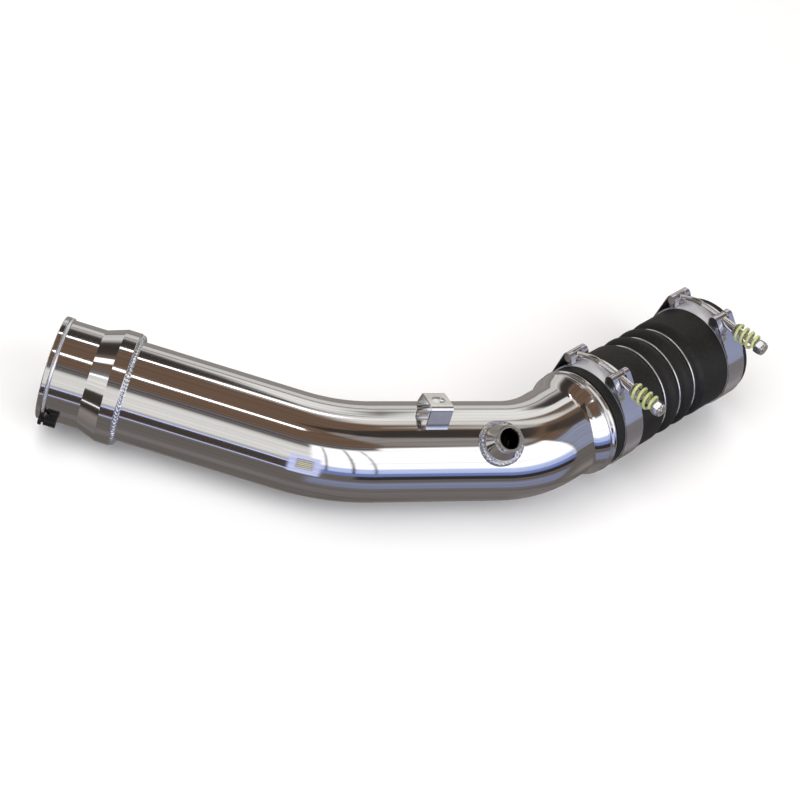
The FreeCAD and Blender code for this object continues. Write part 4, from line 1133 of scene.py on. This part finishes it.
def make_surroundings():
    """The world: panels seen in reflections, and a plain pale backdrop for the camera."""
    world = bpy.data.worlds.new("studio")
    bpy.context.scene.world = world
    world.use_nodes = True
    tree = world.node_tree
    tree.nodes.clear()

    def node(kind, *values, **settings):
        made = tree.nodes.new(kind)
        for name, setting in settings.items():
            setattr(made, name, setting)
        for socket, value in zip(made.inputs, values):
            feed(socket, value)
        return made.outputs[0]

    def calc(operation, *values):
        return node("ShaderNodeMath", *values, operation=operation)

    coords = tree.nodes.new("ShaderNodeTexCoord").outputs["Generated"]
    x, y, z = node("ShaderNodeSeparateXYZ", coords).node.outputs
    to_degrees = 180 / math.pi
    azimuth = calc("MULTIPLY", calc("ARCTAN2", x, y), to_degrees)
    elevation = calc("MULTIPLY", calc("ARCSINE", z), to_degrees)

    def step(value, edge, soft, falling=False):
        """A soft step from 0 to 1 at an edge, or from 1 to 0."""
        return range_node(tree, value, edge - soft, edge + soft, float(falling), float(not falling),
                          "SMOOTHSTEP")

    def blend(share, below, above):
        """Two colours mixed; either may be a socket."""
        made = tree.nodes.new("ShaderNodeMix")
        made.data_type = "RGBA"
        for socket, value in (("Factor", share), ("A", below), ("B", above)):
            feed(made.inputs[socket], value)
        return made.outputs["Result"]

    colour = (*linear(FLOOR_GREY), 1.0)
    for item in PANELS:
        light = [c * item["gain"] for c in linear(item["colour"])] + [1.0]
        share = calc("MULTIPLY", step(elevation, item["low"], item["below"]),
                     step(elevation, item["high"], item["above"], falling=True))
        if item["half_width"] < 180:
            off = calc("SUBTRACT", azimuth, float(item["azimuth"]))
            off = calc("ABSOLUTE", calc("WRAP", off, 180.0, -180.0))
            share = calc("MULTIPLY", share, step(off, item["half_width"], item["side"], falling=True))
        colour = blend(share, colour, light)
    streaks = tree.nodes.new("ShaderNodeTexNoise")
    streaks.inputs["Scale"].default_value = 1.0
    streaks.inputs["Detail"].default_value = 4.0
    place = node("ShaderNodeCombineXYZ", calc("MULTIPLY", azimuth, 0.012), calc("MULTIPLY", elevation, 0.32))
    tree.links.new(place, streaks.inputs["Vector"])
    grain = range_node(tree, streaks.outputs["Fac"], 0.3, 0.7, 0.78, 1.24)
    tone = tree.nodes.new("ShaderNodeVectorMath")
    tone.operation = "SCALE"
    tree.links.new(colour, tone.inputs[0])
    tree.links.new(grain, tone.inputs["Scale"])
    room = node("ShaderNodeBackground", tone.outputs["Vector"])
    backdrop = node("ShaderNodeBackground", (0.93, 0.93, 0.93, 1))
    seen_directly = tree.nodes.new("ShaderNodeLightPath").outputs["Is Camera Ray"]
    output = tree.nodes.new("ShaderNodeOutputWorld")
    tree.links.new(node("ShaderNodeMixShader", seen_directly, room, backdrop), output.inputs["Surface"])


def make_floor():
    """Plain pale floor under the part."""
    lowest = min(cad_corners[0][2], cad_corners[1][2])
    bpy.ops.mesh.primitive_plane_add(size=40, location=(0.3, 0.1, lowest))
    floor = bpy.context.object
    floor.name = "floor"
    made = Finish("pale_floor", (0.90, 0.90, 0.90), roughness=0.95, Specular_IOR_Level=0.0)
    soft = made.noise((3, 3, 3), detail=2.0)
    made.colour(made.mixed(made.ranged(soft, 0.3, 0.7, 0.0, 1.0), (0.90, 0.90, 0.90), (0.88, 0.88, 0.885)))
    floor.data.materials.append(made.material)
    floor.visible_glossy = False


def area_light(name, place, target, size, power, colour=(1, 1, 1)):
    """A soft square lamp that lights but isn't mirrored."""
    data = bpy.data.lights.new(name, "AREA")
    data.size = size
    data.energy = power
    data.color = colour
    lamp = bpy.data.objects.new(name, data)
    lamp.location = place
    lamp.rotation_euler = (Vector(target) - Vector(place)).to_track_quat("-Z", "Y").to_euler()
    lamp.visible_glossy = False
    bpy.context.scene.collection.objects.link(lamp)


def make_lights():
    middle = (0.3, 0.1, 0.0)
    area_light("key", (-0.5, -0.5, 1.9), middle, 1.8, 34.0)
    area_light("fill", (1.5, -0.7, 1.5), middle, 1.6, 14.0)
    area_light("back", (0.3, 1.5, 1.6), middle, 1.8, 14.0)


def make_camera():
    """The photograph's camera, worked out from the tube's edges and the clamps."""
    focal = 2039.1
    frame_width = 800.0
    place = Vector((212.197, -1168.789, 1339.033))
    right = Vector((0.954348, 0.184697, 0.234747))
    down = Vector((0.294925, -0.707155, -0.642613))
    forward = right.cross(down)
    data = bpy.data.cameras.new("camera")
    data.sensor_width = 36.0
    data.lens = focal / frame_width * data.sensor_width
    data.clip_start = 0.05
    data.clip_end = 100.0
    camera = bpy.data.objects.new("camera", data)
    axes = Matrix((right, -down, -forward)).transposed().to_4x4()
    camera.matrix_world = Matrix.Translation(place * MM) @ axes
    bpy.context.scene.collection.objects.link(camera)
    bpy.context.scene.camera = camera


make_finishes()
make_pipe()
make_collar()
make_collar_weld()
make_latch_peg()
make_bung()
make_bung_weld()
make_bracket()
make_boot()
for clamp_name, clamp_position in (("pipe_clamp", PIPE_CLAMP_POSITION), ("free_clamp", FREE_CLAMP_POSITION)):
    clamp_at = clamp_frame(clamp_position)
    make_strap(clamp_name, clamp_at)
    make_bolt(clamp_name, bolt_frame(clamp_at))
    make_turned_pieces(clamp_name, bolt_frame(clamp_at))
    make_nut(clamp_name, bolt_frame(clamp_at))
make_surroundings()
make_floor()
make_lights()
make_camera()
bpy.context.scene.view_settings.view_transform = "Standard"
